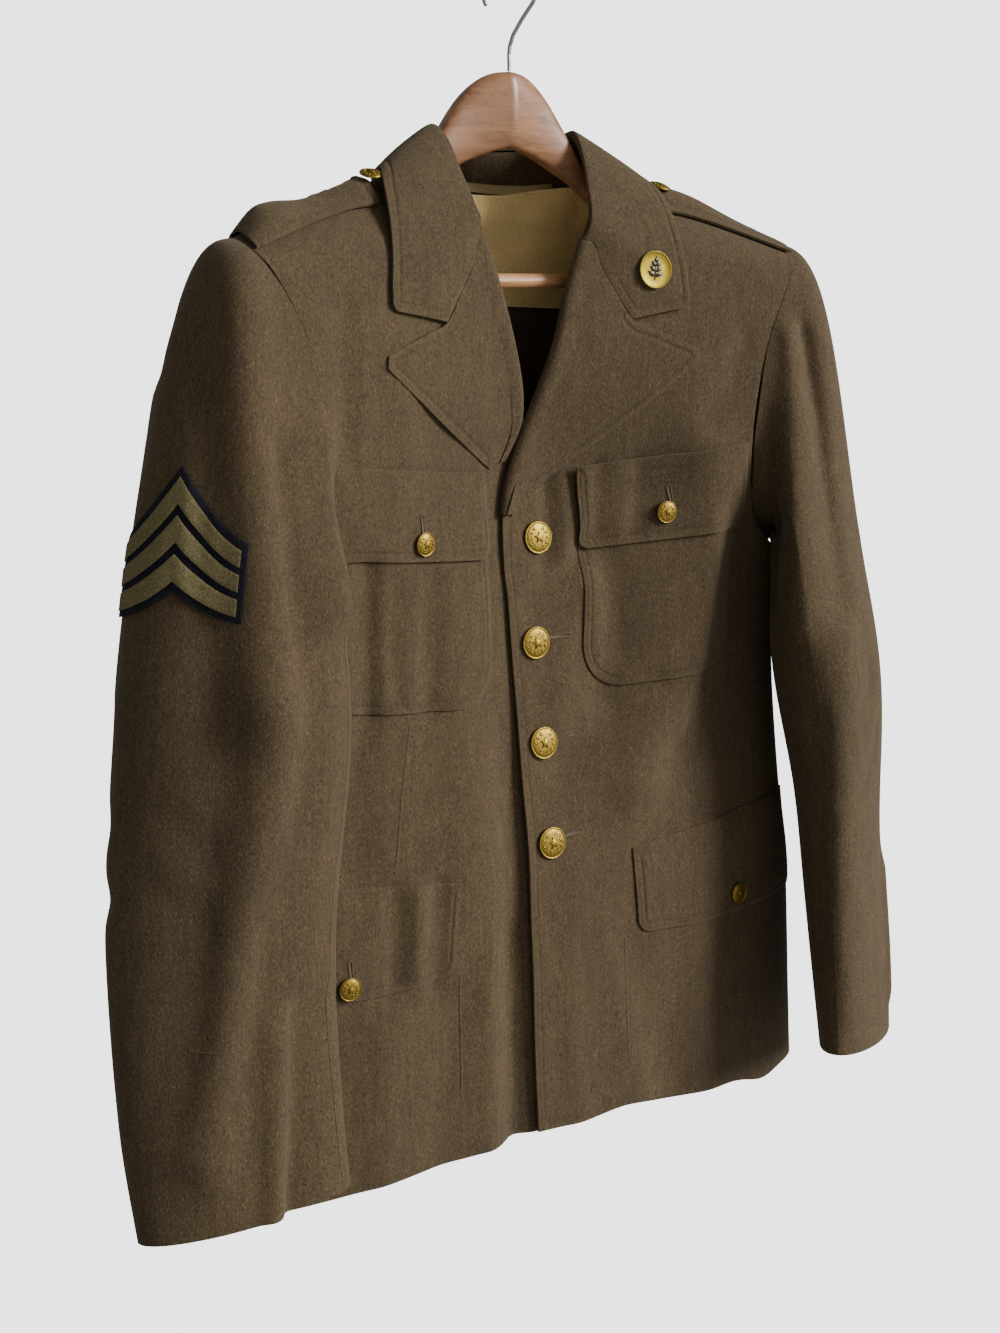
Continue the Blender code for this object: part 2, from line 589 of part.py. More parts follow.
def sleeve_oval(ring, side, angles):
    """A ring of the table, at angles round the arm: 0 is outward and -90 degrees is forward."""
    ring = Ring(*ring)
    turn = math.radians(ring.turn_left if side > 0 else ring.turn_right)
    local = angles - turn
    wide = ring.half_width * np.cos(local)
    deep = ring.half_depth * np.sin(local)
    x = ring.centre_x + wide * math.cos(turn) - deep * math.sin(turn)
    y = ring.centre_y + wide * math.sin(turn) + deep * math.cos(turn)
    fall = np.clip((-0.45 - ring.height) / 0.15, 0, 1) * CUFF_TILT
    z = ring.height - fall * wide / ring.half_width
    return np.stack([x, y, z + 0 * x], axis=-1)


def sleeve_surface(side):
    """The sleeve's outer points: the cap from the armhole to the first ring, then the tube."""
    turns = np.linspace(0, 2 * math.pi, SLEEVE_SIDES, endpoint=False)
    angles = -turns - math.radians(CAP_TWIST)
    hole, hole_normals, away = armhole_ring()
    fold_from, fold_to = FOLD_RANGE
    folded = np.clip((-np.cos(turns) - fold_from) / (fold_to - fold_from), 0, 1)[:, None]
    start = hole + away * ARMHOLE_GAP + hole_normals * (CLOTH + GAP) * folded
    on_top = np.clip(np.cos(turns), 0, 1)[:, None]
    leave = away * (1 - folded) + hole_normals * folded + on_top * (0.0, 0.0, CAP_LIFT)
    leave = unit(leave) * (CAP_LEAVE[0] + CAP_LEAVE[1] * on_top)
    rings = np.linspace(0, len(SLEEVE_RINGS) - 1, SLEEVE_ROWS)
    tube = [sleeve_oval(row, side, angles) for row in through(SLEEVE_RINGS, rings)]
    land = unit(tube[1] - tube[0]) * CAP_LAND
    cap = []
    for step in range(CAP_STEPS):
        t = (step / CAP_STEPS) ** 1.2
        cap.append(
            (2 * t**3 - 3 * t**2 + 1) * start
            + (t**3 - 2 * t**2 + t) * leave
            + (3 * t**2 - 2 * t**3) * tube[0]
            + (t**3 - t**2) * land
        )
    grid = np.stack(cap + tube)
    cover = body_cover(side)
    for _ in range(3):
        grid[1:] = keep_clear(grid[1:], cover, BODY_CLEARANCE)
        grid = relaxed(grid)
    grid[1:] = keep_clear(grid[1:], cover, BODY_CLEARANCE)
    normals = grid_normals(grid, closed=True)
    centre = grid.mean(axis=1, keepdims=True)
    if ((grid - centre) * normals)[CAP_STEPS:].sum() < 0:
        normals = -normals
    normals[0] = hole_normals
    return grid, normals


def make_sleeves(shop):
    under = round(SLEEVE_SIDES * UNDER_SLEEVE_SHARE)
    first = SLEEVE_SIDES // 2 - under // 2 + 1
    ranges = (
        ("under_sleeve", np.arange(first, first + under + 1)),
        ("top_sleeve", np.arange(first + under, SLEEVE_SIDES + first + 1)),
    )
    for side, hand in ((1, "left"), (-1, "right")):
        grid, normals = sleeve_surface(side)
        for piece, columns in ranges:
            columns = columns % SLEEVE_SIDES
            part, ways = grid[:, columns].copy(), normals[:, columns]
            for edge in ("first", "last"):
                step_in(part, edge, GAP / 2)
            shop.wall(f"{piece}_{hand}", mirrored(part, side), mirrored(ways, side), CLOTH, "wool")


# ---------------------------------------------------------------- what lies on a front
class FrontPlan:
    """Finds points of a front's outer surface by distance from the centre line and height."""

    def __init__(self, side):
        self.side = side
        self.grid = front_surface(side, side_shares(FRONT_COLUMNS))
        self.normals = panel_normals(self.grid, ARMHOLE_ROWS, True)
        self.rows = len(self.grid)
        steps = np.linalg.norm(np.diff(self.grid, axis=1), axis=2)
        walked = np.concatenate([np.zeros((self.rows, 1)), np.cumsum(steps, axis=1)], axis=1)
        centre = [np.interp(0.0, self.grid[r, :, 0], walked[r]) for r in range(self.rows)]
        past = np.maximum(self.grid[:, 0, 0], 0.0)
        self.walked = walked - np.array(centre)[:, None] + past[:, None]

    def edge_across(self, height):
        """How far the inner edge is from the centre line at that height."""
        return np.interp(-height, -self.grid[:, 0, 2], self.walked[:, 0])

    def place(self, across, height, lift):
        """The point at that distance and height, moved out by the lift, and the normal there."""
        both = np.concatenate([self.grid, self.normals], axis=2)
        column = np.array(
            [
                [np.interp(across, self.walked[r], both[r, :, k]) for k in range(6)]
                for r in range(self.rows)
            ]
        )
        beyond = np.minimum(across - self.walked[:, 0], 0.0)
        column[:, :3] += unit(self.grid[:, 1] - self.grid[:, 0]) * beyond[:, None]
        order = np.argsort(column[:, 2])
        found = np.array([np.interp(height, column[order, 2], column[order, k]) for k in range(6)])
        normal = unit(found[3:])
        return found[:3] + normal * lift, normal

    def lay(self, spots, lift):
        """A grid of spots (across, height) laid on the front, with lifts of the same shape or one lift."""
        spots = np.asarray(spots)
        lifts = np.broadcast_to(lift, spots.shape[:2])
        placed = [
            [self.place(*spot, rise) for spot, rise in zip(row, line)]
            for row, line in zip(spots, lifts)
        ]
        points = np.array([[point for point, _ in row] for row in placed])
        ways = np.array([[way for _, way in row] for row in placed])
        return mirrored(points, self.side), mirrored(ways, self.side)


def patch_spots(patch, columns, rows):
    """Spots of a patch with two rounded lower corners."""
    width = patch.out_bottom[0] - patch.in_bottom[0]
    corner = patch.radius / width
    ends = corner * (1 - np.cos(np.linspace(0, math.pi / 2, 4)))
    middle = np.linspace(corner, 1 - corner, columns - 6)[1:-1]
    shares = np.concatenate([ends, middle, 1 - ends[::-1]])
    spots = []
    for share in shares:
        top = np.array(patch.in_top) * (1 - share) + np.array(patch.out_top) * share
        bottom = np.array(patch.in_bottom) * (1 - share) + np.array(patch.out_bottom) * share
        reach = patch.radius - min(share, 1 - share) * width
        rise = patch.radius - math.sqrt(patch.radius**2 - max(reach, 0.0) ** 2)
        bottom[1] += rise - patch.bow * math.sin(math.pi * share)
        falls = np.linspace(0, 1, rows)[:, None]
        spots.append(top * (1 - falls) + bottom * falls)
    return np.array(spots).transpose(1, 0, 2)


def make_pockets(shop, plans):
    pocket_lift = LAY_GAP + TRIM
    flap_lift = 2 * pocket_lift
    for side, hand in ((1, "left"), (-1, "right")):
        plan = plans[side]
        pieces = (
            ("chest_pocket", CHEST_POCKET, 11, 8, pocket_lift),
            ("chest_flap", CHEST_FLAP, 11, 4, flap_lift),
            ("lower_flap", LOWER_FLAP, 22, 4, pocket_lift),
        )
        for piece, patch, columns, rows, lift in pieces:
            outer, ways = plan.lay(patch_spots(patch, columns, rows), lift)
            shop.wall(f"{piece}_{hand}", outer, ways, TRIM, "wool")
        make_button(shop, f"chest_button_{hand}", plan, CHEST_BUTTON, flap_lift, SMALL_BUTTON_RADIUS)
        make_button(shop, f"lower_button_{hand}", plan, LOWER_BUTTON, pocket_lift, SMALL_BUTTON_RADIUS)


# ---------------------------------------------------------------- buttons and disk
def turned_mesh(profile, sides):
    """A round body about Z from a profile of radius and height that starts and ends on the axis."""
    mesh = bmesh.new()
    points = [mesh.verts.new((radius, 0.0, height)) for radius, height in profile]
    edges = [mesh.edges.new(pair) for pair in zip(points, points[1:])]
    bmesh.ops.spin(
        mesh,
        geom=points + edges,
        axis=(0, 0, 1),
        cent=(0, 0, 0),
        angle=2 * math.pi,
        steps=sides,
        use_merge=True,
    )
    bmesh.ops.remove_doubles(mesh, verts=mesh.verts, dist=1e-6)
    return mesh


def button_profile(radius, rise):
    """A domed button with a narrow rim, standing on a short shank."""
    return (
        (0.0, GAP),
        (0.35 * radius, GAP),
        (0.35 * radius, 0.30 * rise),
        (0.92 * radius, 0.38 * rise),
        (1.00 * radius, 0.50 * rise),
        (0.94 * radius, 0.66 * rise),
        (0.70 * radius, 0.86 * rise),
        (0.38 * radius, 0.97 * rise),
        (0.0, rise),
    )


def facing(normal):
    """A rotation that takes +Z to the normal, keeping +Y as near up as it can."""
    out = unit(normal)
    right = unit(np.cross((0.0, 0.0, 1.0), out))
    up = np.cross(out, right)
    return np.stack([right, up, out], axis=1)


def disk_profile(radius):
    """A slightly domed plate with a rolled rim."""
    return (
        (0.0, 0.0),
        (0.93 * radius, 0.0),
        (radius, 0.0006),
        (radius, 0.0014),
        (0.94 * radius, 0.0017),
        (0.87 * radius, 0.0011),
        (0.50 * radius, 0.0017),
        (0.0, 0.0019),
    )


def stand_on(mesh, point, normal):
    turn = facing(normal)
    for vert in mesh.verts:
        vert.co = turn @ np.array(vert.co) + point


def make_button(shop, name, plan, spot, lift, radius):
    point, normal = plan.place(*spot, lift)
    mesh = turned_mesh(button_profile(radius, BUTTON_RISE), BUTTON_SIDES)
    stand_on(mesh, mirrored(point, plan.side), mirrored(normal, plan.side))
    shop.add_mesh(name, mesh, "gilt")


def make_front_buttons(shop, plans):
    for number, height in enumerate(FRONT_BUTTON_HEIGHTS, 1):
        make_button(shop, f"front_button_{number}", plans[1], (0.0, height), 0.0, FRONT_BUTTON_RADIUS)


# ---------------------------------------------------------------- lapels and collar
def roll_spots(plan, height, reach, scale=1.0, inward=1.0):
    """The spots and lifts that wrap a roll at that height, square to the roll line."""
    above, below = (np.array([plan.edge_across(height + d), height + d]) for d in (0.01, -0.01))
    along = unit(below - above)
    square = np.array([-along[1], along[0]])
    roll = np.array([plan.edge_across(height) + reach, height])
    spots, lifts = [], []
    for out, lift in ROLL_PROFILE:
        spots.append(roll + square * out * (scale if out > 0 else inward))
        lifts.append(max(lift, LAPEL_LIFT) if reach > 0 else lift)
    return roll, spots, lifts


def bent_line(start, corner, end, corner_share, shares):
    """Spots along two straight runs that meet at a corner."""
    start, corner, end = (np.array(spot) for spot in (start, corner, end))
    return [
        start + (corner - start) * share / corner_share
        if share < corner_share
        else corner + (end - corner) * (share - corner_share) / (1 - corner_share)
        for share in shares
    ]


def lapel_spots(plan, under):
    """Spots and lifts of a lapel, one line for each row of the table."""
    count = UNDER_LAPEL_ROWS if under else len(LAPEL_ROWS)
    spots, lifts = [], []
    for number, row in enumerate(LAPEL_ROWS[:count]):
        across = plan.edge_across(row.roll_height)
        reach = max(0.0, UNDER_LAPEL_REACH - 2 * across) if under else 0.0
        edge = np.array([row.edge_across, row.edge_height])
        width = np.linalg.norm(edge - (across + reach, row.roll_height))
        scale = min(1.0, width / LAPEL_FULL_ROLL)
        roll, line, rise = roll_spots(plan, row.roll_height, reach, scale)
        shares = np.linspace(0, 1, LAPEL_COLUMNS + 1)[1:]
        straight = roll + (edge - roll) * NOTCH_SHARE
        if number == 0:
            notch_drop = np.array(NOTCH) - straight
        corner = straight + notch_drop * max(0.0, 1 - number / NOTCH_FADE)
        line += bent_line(roll, corner, edge, NOTCH_SHARE, shares)
        rise += [LAPEL_LIFT + LAPEL_SPRING * (1 - share) for share in shares]
        spots.append(line)
        lifts.append(rise)
    return np.array(spots), np.array(lifts)


def end_normals(points, along, toward):
    """Normals of a row of points, square to it and to the way that the piece runs on."""
    ways = unit(np.cross(np.gradient(points, axis=0), along))
    return ways * np.sign((ways[-2] * toward).sum())


def gorge_way(plan):
    """The way down the roll line at the gorge, where a lapel and the collar leaf meet."""
    return mirrored(unit(plan.grid[GORGE_ROW + 1, 0] - plan.grid[GORGE_ROW, 0]), plan.side)


def make_lapels(shop, plans):
    forward = np.array([0.0, -1.0, 0.0])
    for side, hand in ((1, "left"), (-1, "right")):
        spots, lifts = lapel_spots(plans[side], side < 0)
        outer, _ = plans[side].lay(spots, lifts)
        normals = grid_normals(outer)
        normals *= np.sign(normals[3, -3] @ forward)
        normals[0] = end_normals(outer[0], gorge_way(plans[side]), forward)
        shop.wall(f"lapel_{hand}", outer, normals, CLOTH, "wool")


def neck_line(shares):
    """Points along the neck seam, from the gorge round to the centre of the back."""
    front = front_surface(1, side_shares(FRONT_COLUMNS))[GORGE_ROW::-1, 0]
    back = back_surface(back_shares())[0, NECK_COLUMNS::-1]
    line = np.concatenate([front, back[1:]])
    length = np.concatenate([[0], np.cumsum(np.linalg.norm(np.diff(line, axis=0), axis=1))])
    return np.stack([np.interp(shares * length[-1], length, line[:, k]) for k in range(3)], axis=1)


def collar_frames(places):
    """For rows of the collar: the neck seam, the fold's middle, its crown and outward ways, and the edge."""
    flat_rows = [(row.neck_share, *row.fold, *row.edge) for row in COLLAR_ROWS]
    rows = through(flat_rows, places)
    fold, edge = rows[:, 1:4], rows[:, 4:7]
    seam = neck_line(np.clip(rows[:, 0], 0, 1))
    along = unit(np.gradient(fold, axis=0))
    crown = fold - (seam + edge) / 2
    crown = unit(crown - along * (crown * along).sum(axis=1, keepdims=True))
    outward = unit(np.cross(along, crown))
    outward *= np.sign(((edge - seam) * outward).sum(axis=1))[:, None]
    middle = fold - (crown + outward * FOLD_INSET) * FOLD_RADIUS
    return seam, middle, crown, outward, edge


def both_sides(rows):
    """Rows of one side from the front to the centre back, then the same rows mirrored back to the front."""
    return np.concatenate([rows, mirrored(rows[-2::-1], -1)])


def leaf_front_row(plan, shares):
    """The leaf's own end, along the gorge seam to the notch and on to its point."""
    roll, spots, lifts = roll_spots(plan, LAPEL_ROWS[0].roll_height, 0.0, inward=LEAF_INWARD)
    gorge = unit(np.array(NOTCH) - roll)
    off_seam = np.array([-gorge[1], gorge[0]]) * GORGE_GAP
    spots += bent_line(roll, NOTCH, LEAF_POINT, LEAF_NOTCH_SHARE, shares)
    lifts += [LAPEL_LIFT + LAPEL_SPRING * (1 - share) for share in shares]
    points, _ = plan.lay([np.array(spots) + off_seam], [lifts])
    return mirrored(points[0], plan.side)


def make_collar(shop, plans):
    """The leaf that folds over to the outside, and the stand inside the neck."""
    shares = np.linspace(0, 1, LEAF_COLUMNS + 1)[1:]
    places = np.linspace(0, len(COLLAR_ROWS) - 1, COLLAR_STEPS)
    seam, middle, crown, outward, edge = collar_frames(places)
    down = unit(seam - middle)
    angles = np.radians(FOLD_ANGLES)[:, None, None]
    arc = middle + FOLD_RADIUS * (crown * np.sin(angles) - outward * np.cos(angles))
    inner_end = arc[0] + down * FOLD_RADIUS * np.clip(places / 3, 0.15, 1)[:, None]
    outer_top = middle + outward * FOLD_RADIUS
    bowed = [
        outer_top + (edge - outer_top) * share + outward * LEAF_BOW * math.sin(math.pi * share)
        for share in shares
    ]
    leaf = np.stack([inner_end, *arc, *bowed], axis=1)
    leaf[1:] = keep_clear(leaf[1:], body_cover(1), LEAF_CLEARANCE)
    leaf[0] = leaf_front_row(plans[1], shares)
    leaf = both_sides(leaf)
    normals = grid_normals(leaf)
    if normals[len(leaf) // 2, -2, 1] < 0:
        normals = -normals
    front_end = end_normals(leaf[0], gorge_way(plans[1]), np.array([0.0, -1.0, 0.0]))
    normals[0], normals[-1] = front_end, mirrored(front_end, -1)
    shop.wall("collar_leaf", leaf, normals, CLOTH, "wool")

    inside = slice(STAND_FROM, None)
    top = inner_end[inside] + down[inside] * STAND_TOP
    foot = seam[inside] - down[inside] * STAND_SEAM
    stand = np.stack([top + (foot - top) * share for share in np.linspace(0, 1, 4)], axis=1)
    stand = both_sides(stand)
    normals = grid_normals(stand)
    if normals[len(stand) // 2, 1, 1] > 0:
        normals = -normals
    shop.wall("collar_stand", stand, normals, TRIM, "wool")
    return leaf


def make_collar_disk(shop, leaf):
    """A domed disk on the left leaf."""
    ways = grid_normals(leaf)
    if ways[len(leaf) // 2, -2, 1] < 0:
        ways = -ways
    flat, flat_ways = leaf.reshape(-1, 3), ways.reshape(-1, 3)
    apart = (flat[:, 0] - DISK_PLACE[0]) ** 2 + (flat[:, 2] - DISK_PLACE[1]) ** 2
    nearest = np.argsort(apart + (flat_ways[:, 1] > 0))[:4]
    weights = 1 / (apart[nearest] + 1e-6)
    normal = unit((flat_ways[nearest] * weights[:, None]).sum(axis=0))
    point = (flat[nearest] * weights[:, None]).sum(axis=0) / weights.sum()
    target = np.array([DISK_PLACE[0], point[1], DISK_PLACE[1]])
    point = target + normal * ((point - target) @ normal + DISK_LIFT)
    mesh = turned_mesh(disk_profile(DISK_RADIUS), 20)
    stand_on(mesh, point, normal)
    shop.add_mesh("collar_disk", mesh, "gilt")


# ---------------------------------------------------------------- shoulder straps
def shoulder_path(make, sections, along, side):
    """Points from the shoulder ridge down a panel, keeping the same share of the way to the armhole."""
    places = np.linspace(0, 3, 25)
    points = []
    neck_x = FRONT_SECTIONS[0].x_in
    for place, row in zip(places, through(sections, places)):
        section = Section(*row)
        x = neck_x + (section.x_out - neck_x) * along
        share = (x - section.x_in) / (section.x_out - section.x_in)
        points.append(make(np.array([share]), np.array([place]))[0, 0])
    return np.array(points)


def on_shoulder(along, offset, side):
    """A point on the shoulder: in front of the ridge where the offset is above 0, behind it below 0."""
    if offset >= 0:
        path = shoulder_path(lambda s, p: front_surface(side, s, p), FRONT_SECTIONS, along, side)
    else:
        path = shoulder_path(back_surface, BACK_SECTIONS, along, side)
    length = np.concatenate([[0], np.cumsum(np.linalg.norm(np.diff(path, axis=0), axis=1))])
    return np.array([np.interp(abs(offset), length, path[:, k]) for k in range(3)])


def make_straps(shop):
    columns = np.linspace(-1, 1, STRAP_COLUMNS)
    for side, hand in ((1, "left"), (-1, "right")):
        table = [
            (row.along, row.middle, row.half_width, row.rise_left if side > 0 else row.rise_right)
            for row in STRAP_ROWS
        ]
        rows = through(table, np.linspace(0, len(table) - 1, 2 * len(table) - 1))
        base = np.array(
            [
                [
                    on_shoulder(row[0] - STRAP_SLANT * row[0] ** 4 * (1 - column) / 2, row[1] + row[2] * column, side)
                    for column in columns
                ]
                for row in rows
            ]
        )
        ways = grid_normals(base)
        ways *= np.sign(ways[3, 3, 2])
        bulge = rows[:, 3][:, None] * (1 - columns**2)[None, :] ** 0.8
        outer = base + ways * (STRAP_LIFT + bulge)[:, :, None]
        step_in(outer, "top", GAP)
        shop.wall(f"shoulder_strap_{hand}", mirrored(outer, side), mirrored(ways, side), TRIM, "wool")
        row = np.argmin(np.abs(rows[:, 0] - STRAP_BUTTON_ALONG))
        centre = STRAP_COLUMNS // 2
        mesh = turned_mesh(button_profile(SMALL_BUTTON_RADIUS, BUTTON_RISE), BUTTON_SIDES)
        point, normal = outer[row, centre] + ways[row, centre] * GAP, ways[row, centre]
        stand_on(mesh, mirrored(point, side), mirrored(normal, side))
        shop.add_mesh(f"strap_button_{hand}", mesh, "gilt")


# ---------------------------------------------------------------- chevrons
class SleevePlan:
    """Finds points of a sleeve's outer surface by distance round it and height."""

    def __init__(self, side):
        self.side = side
        grid, normals = sleeve_surface(side)
        self.both = np.concatenate([grid, normals], axis=2)

    def loop(self, height):
        """The outer half of the sleeve at that height, back to front, with normals."""
        span = SLEEVE_SIDES // 4 + 4
        line = []
        for column in range(-span, span + 1):
            rows = self.both[:, column % SLEEVE_SIDES][::-1]
            line.append([np.interp(height, rows[:, 2], rows[:, k]) for k in range(6)])
        return np.array(line)

    def place(self, around, height, lift):
        line = self.loop(height)
        steps = np.linalg.norm(np.diff(line[:, :3], axis=0), axis=1)
        length = np.concatenate([[0], np.cumsum(steps)])
        middle = len(line) // 2 + CHEVRON_MIDDLE[self.side] / 360 * SLEEVE_SIDES
        start = np.interp(middle, range(len(line)), length)
        found = np.array([np.interp(start + around, length, line[:, k]) for k in range(6)])
        normal = unit(found[3:])
        return found[:3] + normal * lift, normal


def chevron_height(share, offset):
    """The height of a chevron's line at a share of its half width, at a distance below the peak's line."""
    share = abs(share)
    fall = (1 - CHEVRON_ARCH) * share + CHEVRON_ARCH * (1 - (1 - share) ** 2)
    slope = ((1 - CHEVRON_ARCH) + 2 * CHEVRON_ARCH * (1 - share)) * CHEVRON_DROP / CHEVRON_HALF_WIDTH
    return CHEVRON_PEAK - CHEVRON_DROP * fall - offset * math.hypot(1.0, slope)


def chevron_grid(plan, from_offset, to_offset, half_width, lift, rows):
    """A chevron laid on the sleeve, between two distances below the peak's line."""
    shares = np.linspace(-1, 1, CHEVRON_COLUMNS)
    placed = [
        [plan.place(share * half_width, chevron_height(share, offset), lift) for share in shares]
        for offset in np.linspace(from_offset, to_offset, rows)
    ]
    points = np.array([[point for point, _ in row] for row in placed])
    ways = np.array([[way for _, way in row] for row in placed])
    return mirrored(points, plan.side), mirrored(ways, plan.side)


def make_chevrons(shop):
    for side, hand in ((1, "left"), (-1, "right")):
        plan = SleevePlan(side)
        backing_lift = CHEVRON_LAY[side] + BADGE
        stripe_lift = backing_lift + LAY_GAP + STRIPE
        last = 2 * BAR_STEP + BAR_WIDTH + BACKING_MARGIN
        wide = CHEVRON_HALF_WIDTH + BACKING_MARGIN
        grid, ways = chevron_grid(plan, -BACKING_MARGIN, last, wide, backing_lift, 5)
        shop.wall(f"chevron_backing_{hand}", grid, ways, BADGE, "felt_navy")
        for number in range(3):
            start = number * BAR_STEP
            grid, ways = chevron_grid(
                plan, start, start + BAR_WIDTH, CHEVRON_HALF_WIDTH, stripe_lift, 2
            )
            shop.wall(f"chevron_stripe_{hand}_{number + 1}", grid, ways, STRIPE, "felt_olive")


# ---------------------------------------------------------------- inside the neck
def make_yoke(shop):
    """The lining inside the top of the back, on the same facets as the back."""
    grid = back_surface(back_shares())[: YOKE_ROWS + 1, :YOKE_COLUMNS]
    ways = panel_normals(grid, YOKE_ROWS + 1, False)
    reach = np.interp(back_shares()[:YOKE_COLUMNS] / NECK_SHARE, (0.8, 1.0), YOKE_SEAM)
    grid[0] += unit(grid[1] - grid[0]) * reach[:, None]
    grid[-1] = grid[-2] + (grid[-1] - grid[-2]) * YOKE_LAST
    inner = grid - ways * (CLOTH + YOKE_GAP)
    inner = np.concatenate([mirrored(inner[:, :0:-1], -1), inner], axis=1)
    ways = np.concatenate([mirrored(ways[:, :0:-1], -1), ways], axis=1)
    shop.wall("yoke_lining", inner, ways, LINING, "sateen")


def make_neck_loop(shop):
    """A band inside the back of the neck, sewn to the stand at its two ends and slack between them."""
    top = through(LOOP_ROWS, np.linspace(0, len(LOOP_ROWS) - 1, 2 * len(LOOP_ROWS) - 1))
    grid = np.stack([top, top - (0, 0, LOOP_HEIGHT)])
    ways = np.broadcast_to((0.0, -1.0, 0.0), grid.shape)
    shop.wall("neck_loop", grid, ways, LINING, "wool")


# ---------------------------------------------------------------- hanger
def hanger_section(station):
    """A ring of points round the arm at one station."""
    angles = np.linspace(0, 2 * math.pi, HANGER_SIDES, endpoint=False)
    across = np.sign(np.cos(angles)) * np.abs(np.cos(angles)) ** 0.7
    high = np.sign(np.sin(angles)) * np.abs(np.sin(angles)) ** 0.8
    middle = (station.top + station.bottom) / 2
    half = (station.top - station.bottom) / 2
    y = station.middle + station.half_depth * across
    return np.stack([np.full_like(y, station.along), y, middle + half * high], axis=1)


def make_hanger(shop):
    half = np.array([hanger_section(station) for station in HANGER_STATIONS])
    rings = np.concatenate([mirrored(half[:0:-1], -1), half])
    mesh = bmesh.new()
    ids = [[mesh.verts.new(point) for point in ring] for ring in rings]
    for ring, after in zip(ids, ids[1:]):
        for k in range(HANGER_SIDES):
            n = (k + 1) % HANGER_SIDES
            mesh.faces.new((ring[k], ring[n], after[n], after[k]))
    mesh.faces.new(ids[0])
    mesh.faces.new(ids[-1])
    bmesh.ops.triangulate(mesh, faces=[face for face in mesh.faces if len(face.verts) > 4])
    shop.add_mesh("hanger_arms", mesh, "hanger_wood")


def make_trouser_bar(shop):
    bpy.ops.mesh.primitive_cylinder_add(vertices=20, radius=BAR_RADIUS, depth=2 * BAR_HALF_LENGTH)
    bar = bpy.context.active_object
    data = bar.data
    bpy.data.objects.remove(bar)
    item = shop.add("trouser_bar", data, "bar_wood")
    item.location = (0.0, *BAR_CENTRE)
    item.rotation_euler = (0.0, math.pi / 2, 0.0)


def make_hook(shop):
    """The wire hook: a straight shank, then a bend whose inside top is the point that it hangs from."""
    centre = HOOK_REST[2] - HOOK_BEND + HOOK_WIRE
    foot = HANGER_STATIONS[0].top + GAP
    neck = [(0.0, centre - 2.0 * HOOK_BEND), (0.003, centre - 1.5 * HOOK_BEND)]
    shank = [(0.0, foot), (0.0, foot + 0.008), *neck]
    bend = [
        (HOOK_BEND * math.cos(math.radians(a)), centre + HOOK_BEND * math.sin(math.radians(a)))
        for a in range(-50, 211, 20)
    ]
    outline = through(shank + bend, np.linspace(0, len(shank + bend) - 1, 24))
    curve = bpy.data.curves.new("hanger_hook", "CURVE")
    curve.dimensions = "3D"
    curve.bevel_depth = HOOK_WIRE
    curve.bevel_resolution = 1
    curve.use_fill_caps = True
    spline = curve.splines.new("POLY")
    spline.points.add(len(outline) - 1)
    turn = math.radians(HOOK_TURN)
    for point, (out, height) in zip(spline.points, outline):
        point.co = (out * math.sin(turn), HOOK_REST[1] - out * math.cos(turn), height, 1.0)
    shop.add("hanger_hook", curve, "steel")


def main():
    shop = Workshop()
    plans = {side: FrontPlan(side) for side in (1, -1)}
    make_fronts(shop)
    make_backs(shop)
    make_sleeves(shop)
    make_pockets(shop, plans)
    make_front_buttons(shop, plans)
    make_lapels(shop, plans)
    leaf = make_collar(shop, plans)
    make_collar_disk(shop, leaf)
    make_straps(shop)
    make_chevrons(shop)
    make_yoke(shop)
    make_neck_loop(shop)
    make_hanger(shop)
    make_trouser_bar(shop)
    make_hook(shop)


main()
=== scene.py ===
"""Military dress tunic on a wooden hanger: the finish of every piece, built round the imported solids."""

import json
import math
from collections import namedtuple
from functools import partial

import bmesh
import bpy
import numpy as np
from bpy.props import FloatProperty, FloatVectorProperty, IntProperty, PointerProperty
from mathutils import Matrix, Vector
from mathutils.bvhtree import BVHTree

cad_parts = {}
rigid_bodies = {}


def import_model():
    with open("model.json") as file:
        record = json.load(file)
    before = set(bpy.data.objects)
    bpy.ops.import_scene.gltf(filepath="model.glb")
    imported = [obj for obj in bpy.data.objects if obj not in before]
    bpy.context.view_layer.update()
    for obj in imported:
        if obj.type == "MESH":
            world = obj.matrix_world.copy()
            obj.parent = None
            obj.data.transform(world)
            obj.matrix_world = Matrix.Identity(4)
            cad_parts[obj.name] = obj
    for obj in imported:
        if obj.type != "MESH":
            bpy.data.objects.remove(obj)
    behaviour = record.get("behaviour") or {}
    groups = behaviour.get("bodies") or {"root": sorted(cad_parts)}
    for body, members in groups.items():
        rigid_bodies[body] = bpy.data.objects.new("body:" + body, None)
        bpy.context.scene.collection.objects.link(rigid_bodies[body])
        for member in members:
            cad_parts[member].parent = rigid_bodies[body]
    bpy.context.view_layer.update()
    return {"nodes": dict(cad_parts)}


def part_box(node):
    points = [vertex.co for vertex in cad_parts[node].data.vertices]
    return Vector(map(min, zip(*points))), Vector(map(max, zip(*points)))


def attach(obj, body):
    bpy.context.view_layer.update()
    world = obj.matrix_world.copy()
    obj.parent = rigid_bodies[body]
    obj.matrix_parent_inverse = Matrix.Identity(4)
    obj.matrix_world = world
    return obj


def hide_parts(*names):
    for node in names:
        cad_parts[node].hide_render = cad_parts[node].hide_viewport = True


bl_info = {
    "name": "Military dress tunic",
    "version": (1, 0, 0),
    "blender": (4, 5, 0),
    "location": "View3D > Sidebar > Tunic",
    "description": "Cloth, trim, buttons and hanger of a wool service tunic round its solids",
    "category": "Object",
}

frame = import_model()

